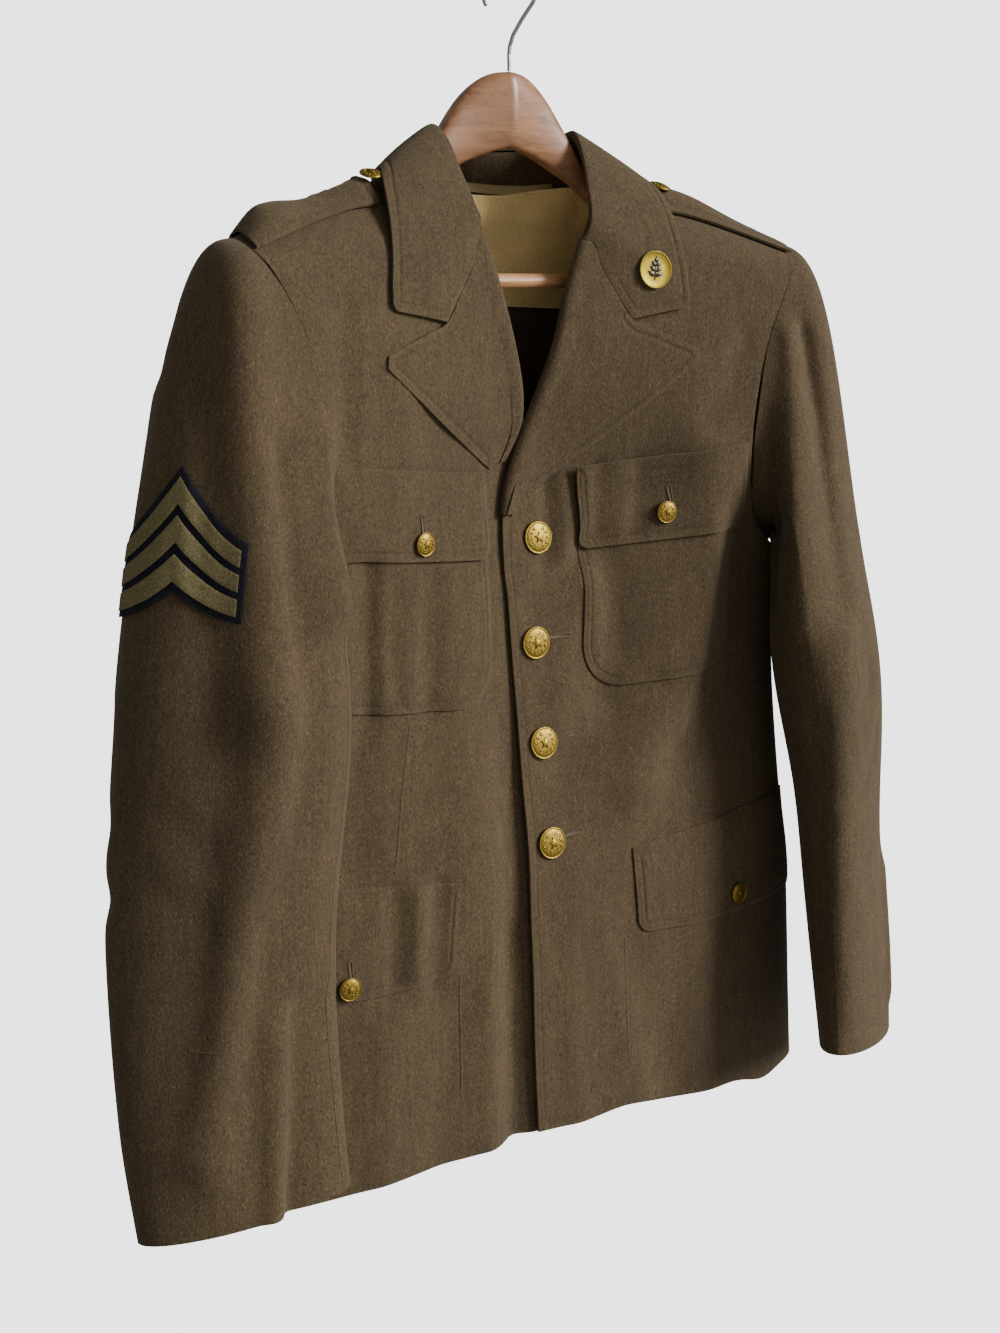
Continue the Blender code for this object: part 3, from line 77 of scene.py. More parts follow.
# ---------------------------------------------------------------- the garment's own frame
# Tables give places from the shoulder points' level, the plane just behind the front and the centre line.
GARMENT = np.array([0.0, -0.0500, -0.1885])
BODY_AXIS = 0.045  # how far behind that plane the middle of the body is
BODY_HALF = (0.26, 0.075)  # half width and half depth of the body's oval
HANDS = (("left", 1), ("right", -1))

# The middle line of a sleeve: height, distance from the centre line, place behind the plane.
SleevePoint = namedtuple("SleevePoint", "height across behind")
SLEEVE_LINE = (
    SleevePoint(0.010, 0.215, 0.030),
    SleevePoint(-0.120, 0.235, 0.010),
    SleevePoint(-0.285, 0.248, -0.010),
    SleevePoint(-0.395, 0.263, -0.015),
    SleevePoint(-0.505, 0.267, -0.026),
    SleevePoint(-0.600, 0.265, -0.042),
)
SLEEVE_RADIUS = 0.060

# Creases, in millimetres. A place on the body's front or back is its distance from the centre line and its
# height. On a sleeve it is the way round from the outer line towards the front, and the height. A ridge has a
# depth above 0 and a trough one below 0.
MM = 0.001
Crease = namedtuple("Crease", "start middle end width depth")
CREASES = {
    "front": (
        Crease((-160, -40), (-163, -80), (-164, -125), 12, -3.6),
        Crease((-118, -60), (-110, -110), (-112, -150), 16, 2.2),
        Crease((-141, -205), (-141.5, -249), (-142, -300), 11, -6),
        Crease((-118, -215), (-119, -251), (-117, -290), 9, -2),
        Crease((-90, -215), (-91, -258), (-92, -300), 10, -3),
        Crease((-60, -250), (-64, -330), (-60, -420), 20, 2.8),
        Crease((-150, -320), (-155, -370), (-150, -420), 16, -3),
        Crease((-128, -422), (-129, -446), (-130, -480), 9, -3.2),
        Crease((-110, -425), (-111, -449), (-112, -480), 7, 2.2),
        Crease((-92, -425), (-93, -452), (-95, -490), 9, -3.2),
        Crease((-50, -480), (-51, -540), (-52, -620), 10, 3),
        Crease((-30, -470), (-28, -540), (-26, -620), 10, -2.8),
        Crease((-85, -510), (-88, -560), (-92, -620), 18, -3.2),
        Crease((-135, -520), (-138, -570), (-140, -620), 16, 2.6),
        Crease((15, -125), (19, -169), (14, -215), 7, -3),
        Crease((46, -205), (24, -225), (0, -240), 10, -3.8),
        Crease((30, -160), (33, -180), (30, -205), 7, 1.6),
        Crease((56, -150), (56, -172), (55, -192), 7, -2.4),
        Crease((87, -150), (87, -172), (85, -195), 8, -2.6),
        Crease((134, -140), (130, -240), (80, -370), 27, 9.2),
        Crease((62, -205), (68, -251), (60, -310), 18, -6.2),
        Crease((52, -235), (58, -270), (70, -300), 12, 2),
        Crease((141, -195), (140, -260), (118, -330), 12, 3.4),
        Crease((177, -200), (182, -305), (181, -410), 13, -4.6),
        Crease((97, -306), (57, -331), (14, -354), 12, -3.4),
        Crease((112, -330), (72, -356), (34, -380), 12, 2.4),
        Crease((30, -262), (24, -290), (20, -330), 10, 1.8),
        Crease((46, -470), (64, -540), (84, -620), 14, 2),
        Crease((70, -500), (92, -550), (116, -620), 18, -1.8),
        Crease((24, -430), (22, -520), (26, -620), 12, 1.8),
        Crease((135, -500), (140, -560), (150, -620), 18, 3),
        Crease((170, -60), (158, -90), (140, -120), 12, -2.4),
        Crease((212, -196), (214, -226), (213, -262), 14, 5.2),
    ),
    "back": (
        Crease((60, -90), (65, -200), (80, -330), 20, -4.8),
        Crease((130, -60), (125, -180), (135, -330), 18, 4.4),
        Crease((-70, -80), (-75, -210), (-85, -350), 20, -4.6),
        Crease((-140, -70), (-136, -190), (-140, -300), 18, 4.4),
        Crease((180, -240), (150, -290), (110, -340), 13, -4),
        Crease((-185, -250), (-160, -300), (-120, -350), 13, -3.8),
        Crease((150, -310), (110, -355), (50, -380), 14, 2.6),
        Crease((-140, -320), (-100, -362), (-50, -385), 14, 2.6),
        Crease((90, -430), (92, -520), (88, -620), 18, 4),
        Crease((-110, -420), (-105, -520), (-112, -620), 20, 4.2),
        Crease((20, -400), (24, -500), (22, -620), 18, -3.6),
    ),
    "right sleeve": (
        Crease((70, -30), (90, -150), (94, -270), 28, 8.8),
        Crease((94, -270), (88, -390), (34, -545), 27, 8.4),
        Crease((118, -120), (122, -230), (124, -340), 12, -2.6),
        Crease((30, -50), (36, -150), (40, -280), 18, -2),
        Crease((160, -112), (160, -156), (151, -212), 15, 9),
        Crease((20, -335), (36, -350), (50, -352), 12, -1.4),
        Crease((6, -374), (30, -392), (50, -396), 11, -1.2),
        Crease((152, -465), (146, -528), (138, -600), 12, -7.8),
        Crease((122, -480), (118, -530), (108, -600), 13, 3),
        Crease((-40, -90), (-46, -170), (-44, -260), 16, 4.2),
        Crease((-70, -300), (-50, -335), (-30, -345), 12, -4.4),
        Crease((-80, -350), (-50, -380), (-20, -390), 12, -3.4),
    ),
    "left sleeve": (
        Crease((132, -60), (148, -168), (152, -270), 12, 5.2),
        Crease((168, -40), (172, -140), (177, -250), 12, -4),
        Crease((108, -60), (118, -160), (124, -250), 14, -6),
        Crease((122, -270), (134, -410), (142, -550), 12, 3.6),
        Crease((149, -330), (154, -425), (159, -515), 7, -2.6),
        Crease((90, -300), (112, -330), (140, -345), 12, -3.4),
        Crease((85, -350), (108, -380), (136, -390), 11, -2.6),
        Crease((20, -470), (30, -510), (28, -560), 14, 3.6),
        Crease((-50, -100), (-52, -180), (-50, -260), 16, 4.2),
        Crease((-80, -310), (-55, -340), (-30, -345), 12, -4.4),
    ),
}


def unit(vectors):
    """Vectors of length 1 with the same directions."""
    lengths = np.linalg.norm(vectors, axis=-1, keepdims=True)
    return vectors / np.maximum(lengths, 1e-9)


def fade(values, start, end):
    """0 up to the start, 1 from the end on, and a soft rise between them."""
    share = np.clip((values - start) / (end - start), 0, 1)
    return share * share * (3 - 2 * share)


def hump(values, middle, half):
    """1 at the middle, falling off softly on both sides."""
    return np.exp(-(((values - middle) / half) ** 2))


def sleeve_middle(heights, side):
    """The middle of a sleeve at each height."""
    line = np.array(SLEEVE_LINE)[::-1]
    across = np.interp(heights, line[:, 0], line[:, 1]) * side
    behind = np.interp(heights, line[:, 0], line[:, 2])
    return np.stack([across, behind, heights], axis=-1)


def body_outward(places):
    """Which way is out of the body at places of the garment's frame."""
    across, deep = BODY_HALF
    away = np.stack(
        [places[:, 0] / across**2, (places[:, 1] - BODY_AXIS) / deep**2, 0 * places[:, 2]], axis=-1
    )
    return unit(away)


def sleeve_outward(places, side):
    """Which way is out of a sleeve, level, at places of the garment's frame."""
    return unit((places - sleeve_middle(places[:, 2], side)) * (1.0, 1.0, 0.0))


def chart_places(chart, places):
    """Where places lie on a crease chart, and which of them belong to it."""
    if chart in ("front", "back"):
        behind = places[:, 1] > BODY_AXIS
        return places[:, [0, 2]], behind if chart == "back" else ~behind
    side = 1 if chart.startswith("left") else -1
    away = sleeve_outward(places, side)
    angle = np.arctan2(-away[:, 1], away[:, 0] * side)
    return np.stack([angle * SLEEVE_RADIUS, places[:, 2]], axis=-1), np.ones(len(places), bool)


def distance_to(line, spots):
    """Distance from spots to a line of points."""
    best = np.full(len(spots), 1e9)
    for start, end in zip(line, line[1:]):
        run = end - start
        share = np.clip((spots - start) @ run / (run @ run), 0, 1)
        best = np.minimum(best, np.linalg.norm(spots - start - share[:, None] * run, axis=1))
    return best


def crease_depth(charts, places):
    """How far the creases of these charts lift the cloth at each place."""
    lift = np.zeros(len(places))
    steps = np.linspace(0, 1, 9)[:, None]
    for chart in charts:
        spots, on_chart = chart_places(chart, places)
        for crease in CREASES[chart]:
            start, middle, end = (np.array(point) * MM for point in (crease.start, crease.middle, crease.end))
            pull = 2 * middle - (start + end) / 2
            line = (1 - steps) ** 2 * start + 2 * steps * (1 - steps) * pull + steps**2 * end
            lift += crease.depth * MM * hump(distance_to(line, spots), 0.0, crease.width * MM) * on_chart
    return lift


def creased(points, region):
    """Points of the row frame, moved by the creases of the region that they belong to."""
    places = np.asarray(points, float) - GARMENT
    if region == "body":
        return GARMENT + places + body_outward(places) * crease_depth(("front", "back"), places)[:, None]
    if region in ("left sleeve", "right sleeve"):
        side = 1 if region.startswith("left") else -1
        return GARMENT + places + sleeve_outward(places, side) * crease_depth((region,), places)[:, None]
    return np.asarray(points, float)


# ---------------------------------------------------------------- sizes and colours
def length(name, description, default):
    """A size in metres that a user may change."""
    return FloatProperty(name=name, description=description, default=default, unit="LENGTH")


def colour(name, description, default):
    """A colour that a user may change."""
    return FloatVectorProperty(name=name, description=description, default=default, subtype="COLOR")


class TunicSizes(bpy.types.PropertyGroup):
    """Sizes of the finish"""

    cloth_level: IntProperty(name="Cloth level", description="Subdivisions of the large panels", default=3)
    trim_level: IntProperty(name="Trim level", description="Subdivisions of small pieces", default=3)
    edge_round: length("Edge round", "Radius of cut and turned edges", 0.0006)
    stitch_inset: length("Stitch inset", "From an edge to its topstitching", 0.0058)
    stitch_width: length("Stitch width", "Half width of the groove that stitches pull", 0.0013)
    stitch_depth: length("Stitch depth", "Depth of that groove", 0.00035)
    stitch_step: length("Stitch step", "From one stitch to the next", 0.0026)


class TunicColours(bpy.types.PropertyGroup):
    """Colours of the cloth, the metal and the wood"""

    wool: colour("Wool", "Middle colour of the wool", (0.073, 0.0462, 0.0188))
    wool_dark: colour("Dark fibre", "Dark fibres of the wool", (0.036, 0.0226, 0.0094))
    wool_light: colour("Light fibre", "Light fibres of the wool", (0.128, 0.089, 0.041))
    navy: colour("Navy", "Felt behind the chevrons", (0.004, 0.004, 0.011))
    olive: colour("Olive", "Felt of the chevrons", (0.165, 0.135, 0.055))
    gilt: colour("Gilt", "Buttons", (0.74, 0.50, 0.095))
    disk: colour("Disk gilt", "Duller gilt of the collar disk", (0.40, 0.30, 0.040))
    silver: colour("Silver", "Sprig on the collar disk", (0.10, 0.09, 0.085))
    sateen: colour("Sateen", "Khaki lining of the yoke", (0.86, 0.63, 0.260))
    # a dark lining made near-black, so that it also paints the shade inside the body
    lining: colour("Lining", "Dark lining inside the body", (0.006, 0.006, 0.008))
    thread: colour("Thread", "Buttonhole thread", (0.095, 0.066, 0.032))
    loop: colour("Loop", "Cotton of the hanging loop", (0.30, 0.215, 0.080))
    wood: colour("Hanger wood", "Varnished wood of the hanger", (0.36, 0.165, 0.075))
    bar: colour("Bar wood", "Light wood of the trouser bar", (0.60, 0.31, 0.125))


def sizes():
    """The sizes as the user has set them."""
    return bpy.context.scene.tunic_sizes


def colours():
    """The colours as the user has set them."""
    return bpy.context.scene.tunic_colours


# ---------------------------------------------------------------- materials
def times(color, *factors):
    """A colour made lighter or darker, alike or channel by channel."""
    return tuple(part * factor for part, factor in zip(color, factors * 3))


class Finish:
    """A material in the making: its node tree, its shader and the steps that add to them."""

    def __init__(self, name, roughness, metallic=0.0, sheen=0.0, sheen_tint=(1, 1, 1)):
        self.material = bpy.data.materials.new("tunic_" + name)
        self.material.use_nodes = True
        self.nodes, self.links = self.material.node_tree.nodes, self.material.node_tree.links
        self.shader = self.nodes["Principled BSDF"]
        self.feed(self.shader, {"Roughness": roughness, "Metallic": metallic, "Sheen Weight": sheen,
                                "Sheen Roughness": 0.5, "Sheen Tint": (*sheen_tint, 1.0)})

    def join(self, value, socket):
        """Links a value to a socket, or sets it there."""
        if isinstance(value, bpy.types.NodeSocket):
            self.links.new(value, socket)
        else:
            socket.default_value = value

    def feed(self, node, values):
        """Gives values to a node's inputs by their names."""
        for name, value in values.items():
            self.join(value, node.inputs[name])

    def node(self, kind, values):
        """A new node with these inputs."""
        node = self.nodes.new("ShaderNode" + kind)
        self.feed(node, values)
        return node

    def noise(self, scale, detail=2.0, roughness=0.5, stretch=(1, 1, 1), turn=0.0, distortion=0.0):
        """Noise over the object's own coordinates, turned about Y and stretched along each axis."""
        place = self.node("TexCoord", {}).outputs["Object"]
        mapped = self.node("Mapping", {"Vector": place, "Rotation": (0.0, turn, 0.0), "Scale": stretch})
        noise = self.node("TexNoise", {"Vector": mapped.outputs["Vector"], "Scale": scale, "Detail": detail,
                                       "Roughness": roughness, "Distortion": distortion})
        return noise.outputs["Fac"]

    def ramp(self, value, *stops):
        """Colours at positions of a value, blended between them."""
        node = self.node("ValToRGB", {"Fac": value})
        elements = node.color_ramp.elements
        while len(elements) < len(stops):
            elements.new(0.5)
        for element, (position, color) in zip(elements, stops):
            element.position = position
            element.color = (*color, 1.0)
        return node.outputs["Color"]

    def mixed(self, first, second, amount, blend="MIX"):
        """One colour laid over another by an amount."""
        node = self.nodes.new("ShaderNodeMix")
        node.data_type = "RGBA"
        node.blend_type = blend
        for value, name, kind in ((first, "A", "RGBA"), (second, "B", "RGBA"), (amount, "Factor", "VALUE")):
            self.join(value, next(s for s in node.inputs if s.name == name and s.type == kind))
        return next(s for s in node.outputs if s.type == "RGBA")

    def math(self, operation, first, second=0.0):
        """A sum, product or other function of two values."""
        node = self.nodes.new("ShaderNodeMath")
        node.operation = operation
        for value, socket in zip((first, second), node.inputs):
            self.join(value, socket)
        return node.outputs[0]

    def attribute(self, name):
        """A value that is kept at each point of the mesh."""
        node = self.nodes.new("ShaderNodeAttribute")
        node.attribute_name = name
        return node.outputs["Fac"]

    def peak(self, value, centre, half):
        """1 where a value is at the centre, falling to 0 at half away on either side."""
        off = self.math("ABSOLUTE", self.math("SUBTRACT", value, centre))
        fall = self.node("MapRange", {"Value": off, "From Min": 0.0, "From Max": half, "To Min": 1.0,
                                      "To Max": 0.0})
        fall.interpolation_type = "SMOOTHSTEP"
        return fall.outputs["Result"]

    def coloured(self, shade, *parts):
        """The material, with its colour and with bump from pairs of a value and its height in metres."""
        total = 0.0
        for value, height in parts:
            total = self.math("ADD", self.math("MULTIPLY", value, height), total)
        relief = self.node("Bump", {"Height": total, "Distance": 1.0})
        self.feed(self.shader, {"Base Color": shade, "Normal": relief.outputs["Normal"]})
        return self.material


# Clouds of lighter and darker wool: their scale, their stretch along Z and the shades that they reach.
Cloud = namedtuple("Cloud", "scale stretch low high")
WOOL_CLOUDS = (Cloud(300, 0.10, 0.90, 1.10), Cloud(90, 0.5, 0.94, 1.06), Cloud(12, 1.0, 0.95, 1.05))
GROOVE_HALF = 0.0020  # half width of the groove along the stitching, darkened with painted shade
THREAD_HALF = 0.0005  # half width of the thread in it
RIM_HIGHLIGHT_INSET = 0.0010  # how far in from an edge the painted highlight on the rolled rim is strongest
RIM_HIGHLIGHT_HALF = 0.0026  # how far that painted highlight reaches on both sides of that


def wool_material():
    """Heathered wool: dark and light fibres round a middle colour, and the stitching near finished edges,
    with painted shade in its groove and a painted highlight along the rim.
    """
    look = colours()
    dark, middle, light = ((*color, 1.0) for color in (look.wool_dark, look.wool, look.wool_light))
    wool = Finish("wool", 0.95, sheen=0.12, sheen_tint=(0.9, 0.75, 0.5))
    fibre = wool.noise(800, 3.0, 0.7, (1.0, 1.0, 0.6))
    shade = wool.ramp(fibre, (0.36, look.wool_dark), (0.47, look.wool), (0.54, look.wool),
                      (0.68, look.wool_light))
    fleck = wool.ramp(wool.noise(1400, 1.0), (0.64, (0, 0, 0)), (0.76, (1, 1, 1)))
    shade = wool.mixed(shade, light, fleck)
    for cloud in WOOL_CLOUDS:
        spread = wool.noise(cloud.scale, stretch=(1.0, 1.0, cloud.stretch))
        spread = wool.ramp(spread, (0.34, (cloud.low,) * 3), (0.66, (cloud.high,) * 3))
        shade = wool.mixed(shade, spread, 1.0, "MULTIPLY")
    edge, along = wool.attribute("edge"), wool.attribute("along")
    seam = EDGE_REACH - sizes().stitch_inset
    groove, thread = wool.peak(edge, seam, GROOVE_HALF), wool.peak(edge, seam, THREAD_HALF)
    wave = wool.math("SINE", wool.math("MULTIPLY", along, 2 * math.pi / sizes().stitch_step))
    stitch = wool.math("MULTIPLY", thread, wool.math("MAXIMUM", wave, 0.0))
    # painted highlight along the rolled rim, where light catches the edge
    rim_highlight = wool.peak(edge, EDGE_REACH - RIM_HIGHLIGHT_INSET, RIM_HIGHLIGHT_HALF)
    # painted shade darkens the stitching groove, the thread takes the middle colour, and a painted highlight
    # lightens the rim
    for color, place, share in ((dark, groove, 0.11), (middle, stitch, 0.35), (light, rim_highlight, 0.22)):
        shade = wool.mixed(shade, color, wool.math("MULTIPLY", place, share))
    twill = wool.noise(1500, 1.0, 0.5, (1.0, 1.0, 0.6))
    return wool.coloured(shade, (fibre, 0.00030), (twill, 0.00012), (groove, -0.00028), (stitch, 0.00015))


def felt_material(name, color, light):
    """Felt: short fibres from dark to light."""
    felt = Finish(name, 0.97, sheen=0.2, sheen_tint=color)
    fibre = felt.noise(900, 3.0, 0.7)
    shade = felt.ramp(fibre, (0.32, times(color, 0.6)), (0.52, color), (0.75, light))
    return felt.coloured(shade, (fibre, 0.0003))


def sateen_material(name, color):
    """Cotton with a fine thread, a soft shine and faint stains."""
    sateen = Finish(name, 0.55, sheen=0.3, sheen_tint=(0.9, 0.8, 0.5))
    thread = sateen.noise(1400, 1.0, 0.5, (0.5, 1.0, 1.0))
    shade = sateen.ramp(thread, (0.3, times(color, 0.82)), (0.7, times(color, 1.12)))
    stain = sateen.ramp(sateen.noise(30, 3.0), (0.3, (0.86, 0.85, 0.82)), (0.7, (1.1, 1.1, 1.1)))
    return sateen.coloured(sateen.mixed(shade, stain, 1.0, "MULTIPLY"), (thread, 0.0001))


def plain_cloth_material(name, color, roughness):
    """Plain cloth or thread with a fine grain."""
    cloth = Finish(name, roughness)
    thread = cloth.noise(1200, 1.0)
    shade = cloth.ramp(thread, (0.3, times(color, 0.75)), (0.7, times(color, 1.2)))
    return cloth.coloured(shade, (thread, 0.0001))


def metal_material(name, color, roughness, dark):
    """Metal that is darker and duller in patches."""
    metal = Finish(name, roughness, metallic=1.0)
    wear = metal.noise(420, 3.0, 0.6)
    rough = metal.node("MapRange", {"Value": wear, "To Min": roughness + 0.14, "To Max": roughness - 0.06})
    metal.feed(metal.shader, {"Roughness": rough.outputs["Result"]})
    return metal.coloured(metal.ramp(wear, (0.30, times(color, dark)), (0.62, color)), (wear, 0.00012))


def wood_material(name, color, coat, grain_turn):
    """Wood with a grain that runs along X, darker late rings and a varnish."""
    wood = Finish(name, 0.42)
    wood.feed(wood.shader, {"Coat Weight": coat, "Coat Roughness": 0.30})
    rings = wood.noise(11, 6.0, 0.6, (1.0, 7.0, 11.0), grain_turn, 0.8)
    shade = wood.ramp(rings, (0.30, times(color, 0.62)), (0.52, color), (0.72, times(color, 1.25)))
    pore = wood.noise(500, stretch=(0.06, 1.0, 1.0))
    pores = wood.ramp(pore, (0.30, (0.72, 0.70, 0.68)), (0.42, (1.0, 1.0, 1.0)))
    return wood.coloured(wood.mixed(shade, pores, 1.0, "MULTIPLY"), (pore, 0.00006))


def steel_material(name):
    """Drawn steel wire."""
    steel = Finish(name, 0.3, metallic=1.0)
    draw = steel.noise(800, stretch=(1.0, 1.0, 0.1))
    shade = steel.ramp(draw, (0.3, (0.42, 0.42, 0.42)), (0.7, (0.66, 0.66, 0.65)))
    return steel.coloured(shade, (draw, 0.00003))


def material_named(name):
    """The material of that name, made when it is first asked for."""
    found = bpy.data.materials.get("tunic_" + name)
    if found:
        return found
    if name == "wool":
        return wool_material()
    look = colours()
    maker, *facts = {
        "felt_navy": (felt_material, tuple(look.navy), (0.02, 0.02, 0.04)),
        "felt_olive": (felt_material, tuple(look.olive), (0.30, 0.25, 0.12)),
        "sateen": (sateen_material, tuple(look.sateen)),
        # near-black lining that carries painted shade inside the body
        "dark_lining": (plain_cloth_material, tuple(look.lining), 0.6),
        "thread": (plain_cloth_material, tuple(look.thread), 0.7),
        # the buttonhole's slit, near-black as painted shade inside the cut
        "slit": (plain_cloth_material, (0.012, 0.009, 0.006), 0.95),
        "loop_cotton": (plain_cloth_material, tuple(look.loop), 0.6),
        "gilt": (metal_material, tuple(look.gilt), 0.33, 0.7),
        # the field between the raised parts, half as bright: partly antiqued gilt, partly painted shade in
        # the hollows
        "gilt_field": (metal_material, times(look.gilt, 0.5), 0.42, 0.7),
        "gilt_disk": (metal_material, tuple(look.disk), 0.50, 0.85),
        "silver": (metal_material, tuple(look.silver), 0.35, 0.6),
        "hanger_wood": (wood_material, tuple(look.wood), 0.5, 0.5),
        "bar_wood": (wood_material, tuple(look.bar), 0.15, 0.0),
        "steel": (steel_material,),
    }[name]
    return maker(name, *facts)


# ---------------------------------------------------------------- pieces from nodes
RIM_ANGLE = math.radians(55)  # an edge sharper than this parts a wall's layer from its rim
SAME_POINT = 2e-5
OUTER, INNER, RIM = 0, 1, 2


def node_cage(node):
    """A node's mesh as a cage of four-sided faces."""
    cage = bmesh.new()
    cage.from_mesh(frame["nodes"][node].data)
    bmesh.ops.remove_doubles(cage, verts=cage.verts, dist=SAME_POINT)
    bmesh.ops.join_triangles(cage, faces=cage.faces, angle_face_threshold=math.radians(60),
                             angle_shape_threshold=math.pi)
    return cage


def sharp(edge):
    """Whether a wall's face turns into its rim at an edge."""
    return len(edge.link_faces) == 2 and edge.calc_face_angle(0.0) > RIM_ANGLE


def cloth_layers(cage):
    """Groups of faces that no sharp edge parts, the largest first."""
    left = set(cage.faces)
    groups = []
    while left:
        front = [left.pop()]
        group = list(front)
        while front:
            face = front.pop()
            for edge in face.edges:
                if sharp(edge):
                    continue
                for other in edge.link_faces:
                    if other in left:
                        left.remove(other)
                        front.append(other)
                        group.append(other)
        groups.append(group)
    return sorted(groups, key=lambda group: -sum(face.calc_area() for face in group))


def mark_layers(cage, facing):
    """Marks the outer, inner and rim faces of a cloth wall by material number."""
    groups = cloth_layers(cage)
    for group in groups[2:]:
        for face in group:
            face.material_index = RIM
    leaning = []
    for group in groups[:2]:
        places = np.array([face.calc_center_median() for face in group]) - GARMENT
        ways = np.array([face.normal for face in group])
        areas = np.array([face.calc_area() for face in group])
        leaning.append(((ways * facing(places)).sum(axis=1) * areas).sum())
    outer = int(leaning[1] > leaning[0])
    for number, group in enumerate(groups[:2]):
        for face in group:
            face.material_index = OUTER if number == outer else INNER


def evaluated_mesh(obj):
    """An object's mesh with its modifiers applied."""
    bpy.context.view_layer.update()
    graph = bpy.context.evaluated_depsgraph_get()
    mesh = bpy.data.meshes.new_from_object(obj.evaluated_get(graph))
    mesh.name = obj.name
    return mesh


def link_object(name, data):
    """A new object in the scene."""
    obj = bpy.data.objects.new(name, data)
    bpy.context.scene.collection.objects.link(obj)
    return obj


def as_mesh(name, work):
    """A finished bmesh as a mesh."""
    mesh = bpy.data.meshes.new(name)
    work.to_mesh(mesh)
    work.free()
    return mesh


# Which pieces each piece is sewn to.
SEWN = {
    "front": ("back", "top_sleeve", "under_sleeve"),
    "back": ("front", "top_sleeve", "under_sleeve", "back", "collar_stand"),
    "top_sleeve": ("front", "back", "under_sleeve"),
    "under_sleeve": ("front", "back", "top_sleeve"),
    "collar_leaf": ("lapel",),
    "collar_stand": ("back",),
    "lapel": ("collar_leaf",),
}
SEAM_REACH = 0.0026  # the widest gap between two rims that is a seam
USUAL_SHARE = 0.44  # how much of the gap a rim moves across, and the same for rims that overlap the other one
SEAM_SHARE = {"collar_stand": 2.0, "back_left": 0.56, "back_right": 0.56}
RIMS = {}


def kind_of(node):
    """A node's name without its hand."""
    return node.removesuffix("_left").removesuffix("_right")


def rim_tree(node):
    """A search tree over the rim faces of a node, kept for the next piece that asks."""
    if node not in RIMS:
        cage = node_cage(node)
        rim = [face for group in cloth_layers(cage)[2:] for face in group]
        points = [vert.co.copy() for vert in cage.verts]
        RIMS[node] = BVHTree.FromPolygons(points, [[vert.index for vert in face.verts] for face in rim])
        cage.free()
    return RIMS[node]


def seams_closed(cage, node):
    """Brings the rim of a piece towards the rims that it is sewn to."""
    kinds = SEWN.get(kind_of(node), ())
    others = [rim_tree(other) for other in frame["nodes"] if other != node and kind_of(other) in kinds]
    if not others:
        return
    share = SEAM_SHARE.get(node, USUAL_SHARE)
    rim = {vert for face in cage.faces if face.material_index == RIM for vert in face.verts}
    for vert in rim:
        found = [tree.find_nearest(vert.co, SEAM_REACH) for tree in others]
        found = [hit for hit in found if hit[0] is not None]
        if found:
            nearest = min(found, key=lambda hit: hit[3])
            vert.co += share * (nearest[0] - vert.co)


# Shares of a corner's radius: where its straight edges are read, and how far rim and cloth belong to it.
EDGE_START, EDGE_END = 0.9, 2.5
RIM_NEAR, CLOTH_NEAR = 2, 2.5


def rounded_corners(mesh, radius, corners=None):
    """Rounds corners, or the two lower ones: the square beside each of them is drawn in to a quarter disc."""
    for corner_place in corners or (-1, 1):
        whole = outer_rim(mesh).points
        rim = whole[:, [0, 2]]
        if corners:
            at = int(np.linalg.norm(whole - GARMENT - corner_place, axis=1).argmin())
        else:
            at = int((rim @ (corner_place, -1.0)).argmax())
        here = whole[at]
        rim = np.roll(rim, -at, axis=0)
        ways, spots = [], []
        for line in (rim, np.roll(rim[::-1], 1, axis=0)):
            far = np.linalg.norm(line - line[0], axis=1)
            first, last = (int((far > share * radius).argmax()) for share in (EDGE_START, EDGE_END))
            spots.append(line[first])
            ways.append(unit(line[last] - line[first]))
        basis = np.array(ways).T
        reach = np.linalg.solve(np.array([ways[0], -ways[1]]).T, spots[1] - spots[0])
        corner = spots[0] + reach[0] * ways[0]
        turn_back = np.linalg.inv(basis).T / radius
        rim_shares = 1 - (rim - corner) @ turn_back
        beside = (rim_shares > 0).all(axis=1) & (np.linalg.norm(rim - rim[0], axis=1) < RIM_NEAR * radius)
        rim_shares = rim_shares[beside]
        bearings = np.arctan2(rim_shares[:, 1], rim_shares[:, 0])
        order = np.argsort(bearings)
        bearings = np.concatenate([[0.0], bearings[order], [math.pi / 2]])
        reaches = np.concatenate([[1.0], np.linalg.norm(rim_shares, axis=1)[order], [1.0]])
        points = get_points(mesh)
        shares = 1 - (points[:, [0, 2]] - corner) @ turn_back
        near = (shares > 0).all(axis=1) & (np.linalg.norm(points - here, axis=1) < CLOTH_NEAR * radius)
        inside = shares[near]
        moved = inside / np.interp(np.arctan2(inside[:, 1], inside[:, 0]), bearings, reaches)[:, None]
        points[np.ix_(near, (0, 2))] -= (moved - inside) * radius @ basis.T
        set_points(mesh, points)


def smoothed_cloth(name, level, facing):
    """The wall of the node of that name with smooth faces between sharp rims, as a new mesh."""
    cage = node_cage(name)
    cage.normal_update()
    mark_layers(cage, facing)
    seams_closed(cage, name)
    crease = cage.edges.layers.float.new("crease_edge")
    for edge in cage.edges:
        edge[crease] = 1.0 if sharp(edge) else 0.0
    mesh = bpy.data.meshes.new(name)
    for _ in (OUTER, INNER, RIM):
        mesh.materials.append(None)
    cage.to_mesh(mesh)
    cage.free()
    return smoothed_through(mesh, level)


FITTING_ROUNDS = 4
FITTING_SHARE = 0.9  # how much of what is missing each round makes good


